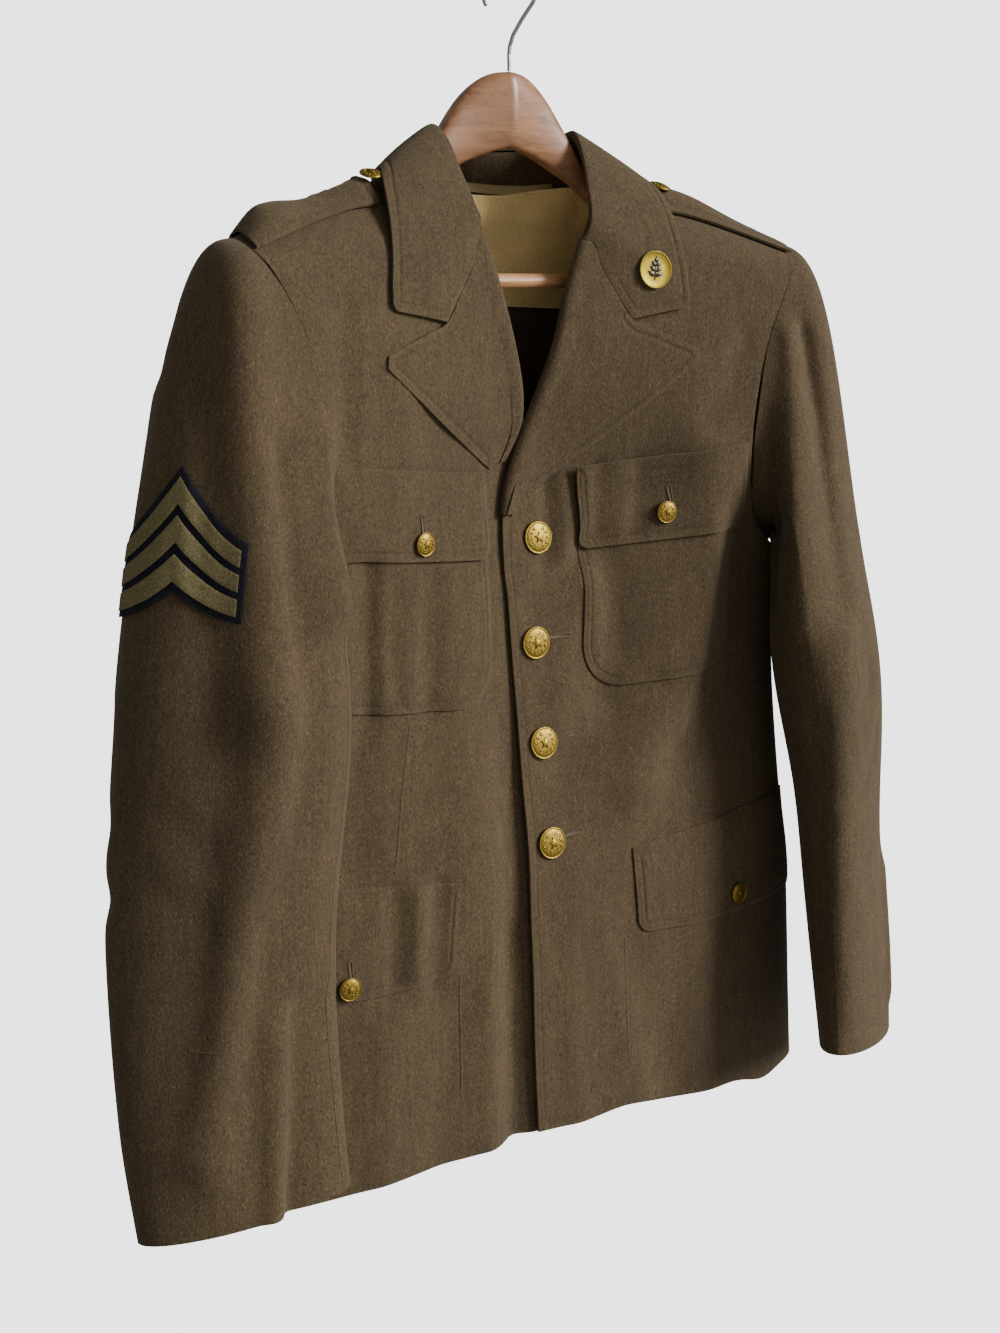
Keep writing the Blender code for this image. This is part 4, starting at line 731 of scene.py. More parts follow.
def smoothed_through(mesh, level):
    """The smooth surface that passes through every vertex of a cage."""
    wanted = get_points(mesh)
    rough = link_object(mesh.name + "_cage", mesh)
    modifier = rough.modifiers.new("Smooth", "SUBSURF")
    modifier.levels = modifier.render_levels = 1
    for _ in range(FITTING_ROUNDS):
        reached = get_points(evaluated_mesh(rough))[: len(wanted)]
        set_points(mesh, get_points(mesh) + FITTING_SHARE * (wanted - reached))
    modifier.levels = modifier.render_levels = level
    fine = evaluated_mesh(rough)
    bpy.data.objects.remove(rough)
    return fine


def get_points(mesh, kind="co"):
    """A mesh's points, or their normals, as rows."""
    points = np.empty(len(mesh.vertices) * 3)
    mesh.vertices.foreach_get(kind, points)
    return points.reshape(-1, 3)


def set_points(mesh, points):
    """Moves a mesh's points to these rows."""
    mesh.vertices.foreach_set("co", np.asarray(points, np.float32).ravel())
    mesh.update()


Rim = namedtuple("Rim", "points inward")


def outer_rim(mesh):
    """The edge of a wall's outer layer, in order, and the way in from it along the cloth."""
    work = bmesh.new()
    work.from_mesh(mesh)
    following = {}
    for edge in work.edges:
        kinds = {face.material_index for face in edge.link_faces}
        if kinds == {OUTER, RIM} or kinds == {OUTER, INNER}:
            face = next(face for face in edge.link_faces if face.material_index == OUTER)
            loop = next(loop for loop in face.loops if loop.edge == edge)
            following[loop.vert] = (loop.link_loop_next.vert, face.normal.copy())
    start = next(iter(following))
    points, ways = [], []
    vert = start
    while vert in following:
        after, normal = following.pop(vert)
        points.append(vert.co[:])
        ways.append(normal.cross(after.co - vert.co)[:])
        vert = after
    work.free()
    return Rim(np.array(points), unit(np.array(ways)))


def outer_tree(mesh):
    """A search tree over the outer layer of a wall."""
    points = [vert.co for vert in mesh.vertices]
    faces = [tuple(face.vertices) for face in mesh.polygons if face.material_index == OUTER]
    return BVHTree.FromPolygons(points, faces)


INSET_KEPT = 0.93  # a point of an inset line counts if it is at least this share of the inset from the rim
SHORTEST_RUN = 4  # runs of no more points than this are left out


def inset_line(mesh, inset, keep):
    """Runs of points that follow a wall's rim at a distance in from it, where keep says so."""
    rim = outer_rim(mesh)
    tree = outer_tree(mesh)
    around = np.vstack([rim.points, rim.points[:1]])
    moved = rim.points + rim.inward * inset
    moved = np.array([tree.find_nearest(Vector(point))[0][:] for point in moved])
    far = np.array([distance_3d(around, point) for point in moved])
    kept = keep(rim.points - GARMENT)
    wanted = kept & (far > INSET_KEPT * inset)
    runs, run = [], []
    start = int(np.argmin(wanted)) if not wanted.all() else 0
    for number in range(len(moved)):
        k = (start + number) % len(moved)
        if wanted[k]:
            run.append(moved[k])
        elif len(run) > SHORTEST_RUN and not kept[k]:
            runs.append(np.array(run))
            run = []
    if len(run) > SHORTEST_RUN:
        runs.append(np.array(run))
    return runs


def distance_3d(line, point):
    """Distance from a point to a line of points."""
    starts, runs = line[:-1], np.diff(line, axis=0)
    share = np.clip(((point - starts) * runs).sum(axis=1) / np.maximum((runs**2).sum(axis=1), 1e-12), 0, 1)
    return np.sqrt((((starts + share[:, None] * runs) - point) ** 2).sum(axis=1).min())


EDGE_REACH = 0.020  # how far in from a stitched edge the cloth knows its distance from it
BLOCK = 400  # how many points are compared at once


def nearest_run(points, starts, runs):
    """Distance from each point to the nearest straight run, the run's number and the share along it."""
    squares = np.maximum((runs**2).sum(axis=1), 1e-12)
    found = []
    for block in np.array_split(points, max(1, len(points) // BLOCK)):
        offset = block[:, None, :] - starts[None]
        share = np.clip((offset * runs).sum(axis=2) / squares, 0, 1)
        far = np.linalg.norm(offset - share[:, :, None] * runs, axis=2)
        best = far.argmin(axis=1)
        rows = np.arange(len(block))
        found.append(np.stack([far[rows, best], best, share[rows, best]]))
    return np.concatenate(found, axis=1)


def outer_numbers(mesh):
    """The numbers of the points of a wall's outer layer, in order."""
    outer = (face for face in mesh.polygons if face.material_index == OUTER)
    return sorted({number for face in outer for number in face.vertices})


def mark_edge(mesh, keep):
    """Writes how near each place of the outer layer is to the stitched rim, and how far along the rim."""
    rim = outer_rim(mesh).points
    wanted = keep(rim - GARMENT)
    runs = np.roll(rim, -1, axis=0) - rim
    steps = np.linalg.norm(runs, axis=1)
    marks = np.concatenate([[0], np.cumsum(steps)[:-1]])
    use = wanted & np.roll(wanted, -1)
    points = get_points(mesh)
    near, along = np.zeros(len(points)), np.zeros(len(points))
    outer = outer_numbers(mesh)
    far, best, share = nearest_run(points[outer], rim[use], runs[use])
    best = best.astype(int)
    near[outer] = np.maximum(EDGE_REACH - far, 0)
    along[outer] = marks[use][best] + share * steps[use][best]
    for name, values in (("edge", near), ("along", along)):
        mesh.attributes.new(name, "FLOAT", "POINT").data.foreach_set("value", values.astype(np.float32))


TURN_IN_REACH = 0.004  # how far in from its edge a piece bends down to what it lies on
UPRIGHT = 0.75  # how much of its length an upright stretch of edge rises


def turned_in(mesh, depth, facing, upright):
    """Brings the edge of a piece nearer to what it lies on: all of it, or only its upright sides."""
    rim = outer_rim(mesh).points
    runs = np.roll(rim, -1, axis=0) - rim
    use = np.abs(unit(runs)[:, 2]) > (UPRIGHT if upright else -1)
    points = get_points(mesh)
    far = nearest_run(points, rim[use], runs[use])[0]
    points -= facing(points - GARMENT) * (depth * hump(far, 0.0, TURN_IN_REACH))[:, None]
    set_points(mesh, points)


def pressed(mesh, lines, width, depth):
    """Presses grooves into a wall's outer layer along lines."""
    points = get_points(mesh)
    normals = get_points(mesh, "normal")
    outer = np.zeros(len(points), bool)
    outer[outer_numbers(mesh)] = True
    for line in lines:
        low, high = line.min(axis=0) - 4 * width, line.max(axis=0) + 4 * width
        where = np.nonzero(outer & (points > low).all(axis=1) & (points < high).all(axis=1))[0]
        if len(where) == 0:
            continue
        far = np.array([distance_3d(line, point) for point in points[where]])
        points[where] -= normals[where] * (depth * hump(far, 0.0, width))[:, None]
    set_points(mesh, points)


def finish_piece(name, mesh, materials, nodes, edge=None):
    """Makes the object of a piece: its materials, rounded edges and body, and hides the nodes it stands for.
    """
    edge = sizes().edge_round if edge is None else edge
    mesh.materials.clear()
    for material in materials:
        mesh.materials.append(material_named(material))
    obj = link_object(name, mesh)
    mesh.shade_smooth()
    if edge:
        bevel = obj.modifiers.new("Rounded edges", "BEVEL")
        bevel.width = edge
        bevel.segments = 2
        bevel.limit_method = "ANGLE"
        bevel.angle_limit = RIM_ANGLE
        bevel.use_clamp_overlap = True
    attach(obj, "root")
    if nodes:
        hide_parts(*nodes)
    return obj


TREES = {}  # a search tree over the outer layer of each finished cloth piece

# Flat cut of each piece: width, length and area of the cloth.
Cut = namedtuple("Cut", "width length area")


def cloth_piece(name, level, facing, region, materials=("wool",) * 3, stitched=None,
                padded=True, corner=0.0, corners=None, turn_in=0.0, upright=False,
                shaped=None):
    """A cloth piece that takes the place of the node of the same name."""
    mesh = smoothed_cloth(name, level, facing)
    if corner:
        rounded_corners(mesh, corner, corners)
    if turn_in:
        turned_in(mesh, turn_in, facing, upright)
    if shaped:
        set_points(mesh, GARMENT + shaped(get_points(mesh) - GARMENT))
    if stitched:
        mark_edge(mesh, stitched)
        if padded:
            lines = inset_line(mesh, sizes().stitch_inset, stitched)
            pressed(mesh, lines, sizes().stitch_width, sizes().stitch_depth)
    set_points(mesh, creased(get_points(mesh), region))
    TREES[name] = outer_tree(mesh)
    obj = finish_piece(name + "_cloth", mesh, materials, [name])


def upward(places):
    """Straight up at every place."""
    return np.broadcast_to((0.0, 0.0, 1.0), places.shape)


def inward(places):
    """Which way is into the body at places of the garment's frame."""
    return -body_outward(places)


class TunicOperator:
    """What every operator of the tunic shares."""

    bl_options = {"REGISTER", "UNDO"}


# ---------------------------------------------------------------- body and sleeves
LINED = ("wool", "dark_lining", "wool")  # the outer, inner and rim cloth of a lined piece; the inner is a near-black lining that carries painted shade inside the body
SLEEVE_CUT = {"top_sleeve": Cut(0.25, 0.64, 0.121), "under_sleeve": Cut(0.16, 0.50, 0.058)}

FRONT_EDGE = 0.035  # the front edges lie this near the centre line
FRONT_EDGE_HEIGHTS = (-0.625, -0.17)

# Where the hem falls lower than straight: at the side, and less between the side and the front edge.
HemWave = namedtuple("HemWave", "across half drop")
HEM_WAVES = (HemWave(0.214, 0.022, 0.0065), HemWave(0.075, 0.030, -0.0050))
HEM_FADE = (-0.540, -0.600)  # heights between which the hem's wave grows

FRONT_GAP = {"left": 0.0016, "right": -0.0048}  # how far out each front lies where they overlap
OVERLAP_FADE = (-0.270, -0.410)  # heights between which that begins
OVERLAP_LINE = -0.027  # where it is greatest, measured from the centre line to the wearer's left
OVERLAP_HALF = 0.011  # how far it reaches on both sides of that


def front_rim(places):
    """The edge of a front below the lapel."""
    low, high = FRONT_EDGE_HEIGHTS
    return (np.abs(places[:, 0]) < FRONT_EDGE) & (places[:, 2] < high) & (places[:, 2] > low)


def hung_hem(places):
    """Lets the hem fall lower at the side and rise between the side and the front edge."""
    fall = sum(wave.drop * hump(places[:, 0], wave.across, wave.half) for wave in HEM_WAVES)
    return places - (fade(places[:, 2], *HEM_FADE) * fall)[:, None] * (0.0, 0.0, 1.0)


def overlap(places, depth):
    """Opens the gap between the two fronts below the buttons, where they overlap."""
    low = fade(places[:, 2], *OVERLAP_FADE) * (places[:, 1] < BODY_AXIS)
    near = hump(places[:, 0], OVERLAP_LINE, OVERLAP_HALF)
    return hung_hem(places) + body_outward(places) * (depth * low * near)[:, None]


class OBJECT_OT_tunic_body(TunicOperator, bpy.types.Operator):
    """Make the two fronts and the two backs"""

    bl_idname = "object.tunic_body"
    bl_label = "Body"

    def execute(self, context):
        level = sizes().cloth_level
        for hand, _ in HANDS:
            cloth_piece(f"front_{hand}", level, body_outward, "body", LINED,
                        stitched=front_rim, padded=False, shaped=partial(overlap, depth=FRONT_GAP[hand]))
            cloth_piece(f"back_{hand}", level, body_outward, "body", LINED, shaped=hung_hem)
        return {"FINISHED"}


class OBJECT_OT_tunic_sleeves(TunicOperator, bpy.types.Operator):
    """Make the upper and under sleeves"""

    bl_idname = "object.tunic_sleeves"
    bl_label = "Sleeves"

    def execute(self, context):
        for hand, side in HANDS:
            for piece, cut in SLEEVE_CUT.items():
                cloth_piece(f"{piece}_{hand}", sizes().cloth_level, partial(sleeve_outward, side=side),
                            f"{hand} sleeve", LINED)
        return {"FINISHED"}


# ---------------------------------------------------------------- pockets and flaps
# The cut, the radius of the lower corners, how far the edge turns in, and where its stitching starts.
Pocket = namedtuple("Pocket", "piece cut corner turn_in stitched_below")
POCKETS = (
    Pocket("chest_pocket", Cut(0.14, 0.16, 0.021), 0.036, 0.0011, -0.160),
    Pocket("chest_flap", Cut(0.14, 0.07, 0.0083), 0.011, 0.0016, -0.155),
    Pocket("lower_flap", Cut(0.19, 0.08, 0.0135), 0.011, 0.0008, -0.430),
)
# How far a piece's end beside the buttons lies to the wearer's left of its node's, at its top and its bottom.
InnerEnd = namedtuple("InnerEnd", "top bottom")
INNER_END = {
    "chest_pocket_left": InnerEnd(0.0045, 0.0045),
    "chest_pocket_right": InnerEnd(0.0030, 0.0030),
    "chest_flap_left": InnerEnd(-0.0048, 0.0000),
    "chest_flap_right": InnerEnd(0.0058, 0.0064),
}
INNER_FADE = (0.105, 0.050)  # distances from the centre line between which the inner end begins
INNER_HEIGHTS = (-0.205, -0.145)  # heights of its bottom and its top
TUCK = -0.011  # how far the right outer ends go under the sleeve
TUCK_FADE = (-0.146, -0.172)  # places between which they begin


def below(places, height):
    """Which places are below a height."""
    return places[:, 2] < height


def moved_end(name):
    """What moves a pocket's or flap's inner end, and tucks a chest one's right outer end under the sleeve."""
    end = INNER_END.get(name, InnerEnd(0.0, 0.0))

    def shaped(places):
        share = fade(places[:, 2], *INNER_HEIGHTS)
        near = fade(np.abs(places[:, 0]), *INNER_FADE)
        tucked = TUCK * fade(places[:, 0], *TUCK_FADE) if name.startswith("chest") else 0.0
        moved = near * (end.bottom + (end.top - end.bottom) * share) + tucked
        return places + moved[:, None] * (1.0, 0.0, 0.0)

    return shaped


class OBJECT_OT_tunic_pockets(TunicOperator, bpy.types.Operator):
    """Make the chest pockets and the four flaps"""

    bl_idname = "object.tunic_pockets"
    bl_label = "Pockets and flaps"

    def execute(self, context):
        for hand, _ in HANDS:
            for pocket in POCKETS:
                name = f"{pocket.piece}_{hand}"
                cloth_piece(name, sizes().trim_level, body_outward, "body", corner=pocket.corner,
                            turn_in=pocket.turn_in, upright=pocket.piece == "chest_flap",
                            stitched=partial(below, height=pocket.stitched_below), shaped=moved_end(name))
        return {"FINISHED"}


# ---------------------------------------------------------------- collar and lapels
LEAF_CORNERS = ((-0.119, 0.004, -0.033), (0.120, 0.004, -0.035))  # the two front corners of the collar's leaf
LEAF_CORNER_RADIUS = 0.006
NECK_HALF = (0.062, 0.052)  # half width and half depth of the neck's oval
NECK_AXIS = 0.055  # how far behind the front's plane its middle is
LEAF_FRONT = 0.03  # the leaf's front part is less far behind that plane
LEAF_FALL = 0.060  # its edge round the neck is below this height
LEAF_END = 0.060  # its ends lie farther from the centre line

LAPEL_POINT = 0.0745  # the lapel's outer edge lies farther from the centre line
LAPEL_GORGE = -0.075  # its front edge begins below this height
LAPEL_ROLL = (0.026, 0.30, -0.175)  # its roll: how far from the centre line it starts, its slope and its foot

# The lower end of each lapel: its height and its place to the wearer's left of the centre line.
LapelFoot = namedtuple("LapelFoot", "height across")
LAPEL_FOOT = {"left": LapelFoot(-0.177, -0.020), "right": LapelFoot(-0.144, 0.000)}
FOOT_FADE = (0.030, 0.006)  # heights above the foot between which the lapel sinks in
FOOT_SINK = 0.0011  # how far it sinks at its roll, and how much more at its free edge
FOOT_SINK_FREE = 0.0015
FOOT_FREE_FADE = (0.002, 0.014)


def collar_rim(places):
    """The leaf's outer edge and ends, not its seam inside the neck."""
    across, behind, height = places.T
    outside_neck = np.hypot(across / NECK_HALF[0], (behind - NECK_AXIS) / NECK_HALF[1]) > 1.0
    front = (behind < LEAF_FRONT) & (np.abs(across) > LEAF_END)
    return front | ((behind >= LEAF_FRONT) & (height < LEAF_FALL) & outside_neck)


def lapel_rim(places):
    """The lapel's two free edges, not its roll or the gorge seam."""
    across, height = np.abs(places[:, 0]), places[:, 2]
    start, slope, foot = LAPEL_ROLL
    roll = start + slope * np.clip(height - foot, 0, 0.1)
    return (across > LAPEL_POINT) | ((height < LAPEL_GORGE) & (across > roll))


def settled_lapel(places, foot):
    """Lets the lower end of a lapel sink into the front that it grows out of, more at its free edge."""
    low = fade(places[:, 2], *(foot.height + above for above in FOOT_FADE))
    free = fade(np.abs(places[:, 0] - foot.across), *FOOT_FREE_FADE)
    return places - body_outward(places) * (low * (FOOT_SINK + FOOT_SINK_FREE * free))[:, None]


class OBJECT_OT_tunic_collar(TunicOperator, bpy.types.Operator):
    """Make the collar's leaf and stand and the two lapels"""

    bl_idname = "object.tunic_collar"
    bl_label = "Collar and lapels"

    def execute(self, context):
        level = sizes().trim_level
        cloth_piece("collar_leaf", level, body_outward, "none", stitched=collar_rim,
                    corner=LEAF_CORNER_RADIUS, corners=LEAF_CORNERS)
        cloth_piece("collar_stand", level - 1, inward, "none")
        for hand, _ in HANDS:
            cloth_piece(f"lapel_{hand}", level, body_outward, "none",
                        stitched=lapel_rim,
                        shaped=partial(settled_lapel, foot=LAPEL_FOOT[hand]))
        return {"FINISHED"}


# ---------------------------------------------------------------- straps, chevrons and the inside of the neck
STRAP_SEAM = 0.21  # a strap is sewn in farther out than this, and stitched round the rest of its edge
SMALL_LEVEL = 2  # subdivisions of the chevrons and of what is inside the neck


class OBJECT_OT_tunic_straps(TunicOperator, bpy.types.Operator):
    """Make the shoulder straps"""

    bl_idname = "object.tunic_straps"
    bl_label = "Shoulder straps"

    def execute(self, context):
        for hand, _ in HANDS:
            cloth_piece(f"shoulder_strap_{hand}", sizes().trim_level - 1, upward, "none",
                        stitched=lambda places: np.abs(places[:, 0]) < STRAP_SEAM)
        return {"FINISHED"}


class OBJECT_OT_tunic_chevrons(TunicOperator, bpy.types.Operator):
    """Make the chevrons and their backing"""

    bl_idname = "object.tunic_chevrons"
    bl_label = "Chevrons"

    def execute(self, context):
        for hand, side in HANDS:
            pieces = [(f"chevron_backing_{hand}", "felt_navy", Cut(0.09, 0.10, 0.0055))]
            for number in (1, 2, 3):
                pieces.append((f"chevron_stripe_{hand}_{number}", "felt_olive", Cut(0.072, 0.053, 0.0012)))
            for name, felt, cut in pieces:
                cloth_piece(name, SMALL_LEVEL, partial(sleeve_outward, side=side), f"{hand} sleeve",
                            (felt,) * 3)
        return {"FINISHED"}


YOKE_TOP_FADE = (0.004, 0.022)  # heights between which the top of the yoke lining begins
YOKE_SIDE_FADE = (0.112, 0.088)  # distances from the centre line between which its middle begins
YOKE_LIFT = (0.003, 0.013)  # how far up it goes at the centre line, and how much more beside it
YOKE_LIFT_FADE = (0.0, 0.050)
YOKE_LIFT_END = (0.096, 0.076)
YOKE_FORWARD = (0.0052, 0.0054)  # how far forward it goes behind the loop, and how much more beside the neck
YOKE_FORWARD_FADE = (0.046, 0.068)
YOKE_IN = 0.4  # how much of that it also goes towards the centre line, beside the neck


def raised_yoke(places):
    """Brings the top of the yoke lining up to the loop, in front of the seam behind the neck."""
    across = np.abs(places[:, 0])
    near = fade(places[:, 2], *YOKE_TOP_FADE) * fade(across, *YOKE_SIDE_FADE)
    lift = near * (YOKE_LIFT[0] + YOKE_LIFT[1] * fade(across, *YOKE_LIFT_FADE)) * fade(across, *YOKE_LIFT_END)
    forward = near * (YOKE_FORWARD[0] + YOKE_FORWARD[1] * fade(across, *YOKE_FORWARD_FADE))
    inwards = -YOKE_IN * np.sign(places[:, 0]) * forward * (across > YOKE_FORWARD_FADE[0])
    return places + np.stack([inwards, -forward, lift], axis=-1)


class OBJECT_OT_tunic_neck(TunicOperator, bpy.types.Operator):
    """Make the yoke lining and the hanging loop inside the neck"""

    bl_idname = "object.tunic_neck"
    bl_label = "Yoke lining and loop"

    def execute(self, context):
        cloth_piece("yoke_lining", SMALL_LEVEL, inward, "body", ("sateen",) * 3,
                    shaped=raised_yoke)
        cloth_piece("neck_loop", SMALL_LEVEL, inward, "none", ("loop_cotton",) * 3)
        return {"FINISHED"}


# ---------------------------------------------------------------- what is sewn into the cloth
IN_FRONT = 0.03  # how far in front of the front's plane a shape starts before it is laid on the cloth
PROBE = 0.05  # how far out from there its way to the cloth starts, and how far out from a chart's line
CHART_PROBE = 0.2


def laid_on_cloth(work, piece, across, height):
    """Lays shapes on a finished piece: X and Y run right and up from a place on it, and Z out of it."""
    origin, out = Vector((across, -IN_FRONT, height)) + Vector(GARMENT), Vector((0.0, -1.0, 0.0))
    for vert in work.verts:
        spot = origin + Vector((vert.co.x, 0.0, vert.co.y))
        place, normal, _, _ = TREES[piece].ray_cast(spot + out * PROBE, -out)
        if place is None:
            place, normal, _, _ = TREES[piece].find_nearest(spot)
        vert.co = place + normal * vert.co.z


def chart_spot(chart, piece, spot):
    """The place and the normal on a finished piece at a spot of a crease chart."""
    if chart == "front":
        place, out = np.array([spot[0], 0.0, spot[1]]), np.array([0.0, -1.0, 0.0])
    else:
        side = 1 if chart.startswith("left") else -1
        angle = spot[0] / SLEEVE_RADIUS
        out = np.array([math.cos(angle) * side, -math.sin(angle), 0.0])
        place = sleeve_middle(np.array([spot[1]]), side)[0]
    hit, normal, _, _ = TREES[piece].ray_cast(Vector(place + GARMENT + out * CHART_PROBE), -Vector(out))
    if hit is None:
        raise ValueError(f"{piece} has no cloth at {spot}")
    return hit, normal


def add_strip(work, spots, width, height):
    """A low rounded strip through places that each have a normal."""
    profile = [(share * width / 2, height * (1 - share**2)) for share in (-1, -0.5, 0, 0.5, 1)]
    edges = []
    for number, (place, normal) in enumerate(spots):
        way = spots[min(number + 1, len(spots) - 1)][0] - spots[max(number - 1, 0)][0]
        side = way.cross(normal).normalized()
        row = [place + side * out + normal * lift for out, lift in profile]
        if not edges:
            verts = [work.verts.new(spot) for spot in row]
            edges = [work.edges.new(pair) for pair in zip(verts, verts[1:])]
            continue
        made = bmesh.ops.extrude_edge_only(work, edges=edges)["geom"]
        edges = [item for item in made if isinstance(item, bmesh.types.BMEdge)
                 and all(len(vert.link_faces) <= 2 for vert in item.verts) and len(item.link_faces) == 1
                 and item.calc_length() < width / 2]
        before = spots[number - 1][0]
        ends = {vert for edge in edges for vert in edge.verts}
        for vert, spot in zip(sorted(ends, key=lambda vert: (vert.co - before).dot(side)), row):
            vert.co = spot


def bent(points, steps=24):
    """Points along a smooth curve through two or three places."""
    places = np.linspace(0, len(points) - 1, steps)
    fit = np.polyfit(range(len(points)), np.array(points, float), len(points) - 1)
    return [tuple(np.polyval(fit, place)) for place in places]


def flat_face(work, outline, height=0.0):
    """A flat face that looks up, from its outline."""
    face = work.faces.new([work.verts.new((x, y, height)) for x, y in outline])
    face.normal_update()
    if face.normal.z < 0:
        face.normal_flip()
    return face


def of_kind(items, kind):
    """Those items of an operator's result that are vertices, edges or faces."""
    return [item for item in items if isinstance(item, kind)]


def joined(name, works):
    """One mesh of several shapes."""
    mesh = bpy.data.meshes.new(name)
    whole = bmesh.new()
    for work in works:
        work.to_mesh(mesh)
        work.free()
        whole.from_mesh(mesh)
    whole.to_mesh(mesh)
    whole.free()
    return mesh


# Seams that show as a fine line: the chart, the piece they lie on, and places on the chart.
SeamLine = namedtuple("SeamLine", "chart piece points")
SEAM_LINES = (
    SeamLine("front", "front_left", ((0.1245, -0.3050), (0.1285, -0.350), (0.1350, -0.409))),
    SeamLine("front", "front_right", ((-0.1075, -0.3080), (-0.1170, -0.355), (-0.1255, -0.409))),
    SeamLine("front", "front_left", ((0.0695, -0.490), (0.0692, -0.530), (0.0700, -0.578))),
    SeamLine("front", "front_right", ((-0.0760, -0.490), (-0.0750, -0.530), (-0.0755, -0.575))),
    SeamLine("right sleeve", "top_sleeve_right", ((0.030, -0.479), (0.090, -0.481), (0.150, -0.485))),
    SeamLine("left sleeve", "top_sleeve_left", ((0.030, -0.479), (0.085, -0.480), (0.132, -0.476))),
)

# Buttonholes: the piece, the middle's distance from the centre and height, the length and its turn.
Buttonhole = namedtuple("Buttonhole", "piece across height length turn")
BUTTONHOLES = (
    Buttonhole("chest_flap_right", -0.0965, -0.1790, 0.0185, 94),
    Buttonhole("chest_flap_left", 0.1090, -0.1700, 0.0165, 104),
    Buttonhole("lower_flap_right", -0.1625, -0.4690, 0.0160, 94),
    Buttonhole("lower_flap_left", 0.1795, -0.4650, 0.0160, 99),
    Buttonhole("front_left", 0.0120, -0.1930, 0.0190, 2),
    Buttonhole("front_left", 0.0205, -0.2645, 0.0215, 2),
    Buttonhole("front_left", 0.0235, -0.3355, 0.0225, 4),
    Buttonhole("front_left", 0.0215, -0.4045, 0.0215, 8),
)

SLIT_RADIUS = 0.0014  # half width of a buttonhole with its thread, and the radius of its eye
EYE_RADIUS = 0.0019
THREAD_BASE = -0.0003  # heights off the cloth of the thread's underside and of its side
THREAD_SIDE = 0.0006

# Steps in from a buttonhole's outline over its thread and down into the slit.
SlitStep = namedtuple("SlitStep", "inset rise")
SLIT_STEPS = (SlitStep(0.00030, 0.00020), SlitStep(0.00030, 0.0), SlitStep(0.00015, -0.00040))
SEAM_WIDTH = 0.0020
SEAM_RISE = 0.0004


def stadium(length, radius, eye, turn):
    """The outline of a buttonhole with its round eye at the far end."""
    spots = []
    half = length / 2 - radius
    for middle, size, start, sweep in ((-half, radius, 90, 180), (half, eye, -115, 230)):
        for k in range(9):
            angle = math.radians(start + k * sweep / 8)
            spots.append((middle + size * math.cos(angle), size * math.sin(angle)))
    across, up = math.cos(turn), math.sin(turn)
    return [(x * across - y * up, x * up + y * across) for x, y in spots]


def buttonhole(hole):
    """A buttonhole's raised thread and near-black slit, painted as the shade inside the cut, laid on its
    piece.
    """
    work = bmesh.new()
    outline = stadium(hole.length, SLIT_RADIUS, EYE_RADIUS, math.radians(hole.turn))
    face = flat_face(work, outline, THREAD_BASE)
    top = bmesh.ops.extrude_face_region(work, geom=[face])["geom"]
    bmesh.ops.translate(work, verts=of_kind(top, bmesh.types.BMVert), vec=(0, 0, THREAD_SIDE))
    faces = of_kind(top, bmesh.types.BMFace)
    for step in SLIT_STEPS:
        bmesh.ops.inset_region(work, faces=faces, thickness=step.inset, depth=step.rise)
    # the slit takes the near-black material: painted shade inside the cut
    for face in faces:
        face.material_index = 1
    laid_on_cloth(work, hole.piece, hole.across, hole.height)
    return work


def seam_line(line):
    """A seam's low strip, laid on its piece."""
    work = bmesh.new()
    spots = [chart_spot(line.chart, line.piece, spot) for spot in bent(line.points)]
    add_strip(work, spots, SEAM_WIDTH, SEAM_RISE)
    return work


class OBJECT_OT_tunic_sewing(TunicOperator, bpy.types.Operator):
    """Make the buttonholes and the fine seam lines"""

    bl_idname = "object.tunic_sewing"
    bl_label = "Buttonholes and seam lines"

    def execute(self, context):
        holes = joined("buttonholes", (buttonhole(hole) for hole in BUTTONHOLES))
        finish_piece("buttonholes", holes, ["thread", "slit"], [], edge=0)
        lines = joined("seam_lines", (seam_line(line) for line in SEAM_LINES))
        finish_piece("seam_lines", lines, ["wool"], [], edge=0)
        return {"FINISHED"}


# ---------------------------------------------------------------- buttons
RoundNode = namedtuple("RoundNode", "base axis rise radius")


def round_node(node):
    """The base centre, outward axis, height and radius of a round node."""
    work = bmesh.new()
    work.from_mesh(frame["nodes"][node].data)
    bmesh.ops.remove_doubles(work, verts=work.verts, dist=1e-5)
    points = np.array([vert.co for vert in work.verts])
    work.free()
    middle = points.mean(axis=0)
    _, _, ways = np.linalg.svd(points - middle)
    axis = ways[2]
    if axis @ np.array([0.0, -1.0, 0.6]) < 0:
        axis = -axis
    heights = (points - middle) @ axis
    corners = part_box(node)
    return RoundNode(middle + axis * heights.min(), axis, heights.max() - heights.min(),
                     max(corners[1] - corners[0]) / 2)


def standing_on(point, axis, turn):
    """A matrix that takes +Z to the axis and +Y to up, turned about the axis by some degrees."""
    out = Vector(axis).normalized()
    right = Vector((0, 0, 1)).cross(out).normalized()
    up = out.cross(right)
    basis = Matrix((right, up, out)).transposed().to_4x4()
    return Matrix.Translation(Vector(point)) @ basis @ Matrix.Rotation(math.radians(turn), 4, "Z")


def turned(work, profile, steps):
    """Spins a profile of radius and height about Z inside a bmesh."""
    verts = [work.verts.new((radius, 0.0, height)) for radius, height in profile]
    edges = [work.edges.new(pair) for pair in zip(verts, verts[1:])]
    bmesh.ops.spin(work, geom=verts + edges, axis=(0, 0, 1), cent=(0, 0, 0), angle=2 * math.pi, steps=steps,
                   use_merge=True)
    bmesh.ops.remove_doubles(work, verts=work.verts, dist=1e-7)


def arc(middle, half, first, last, step):
    """Points of an upright oval by radius and height, from one angle to another, in degrees."""
    angles = [math.radians(angle) for angle in range(first, last, step)]
    return [(middle[0] + half[0] * math.cos(a), middle[1] + half[1] * math.sin(a)) for a in angles]


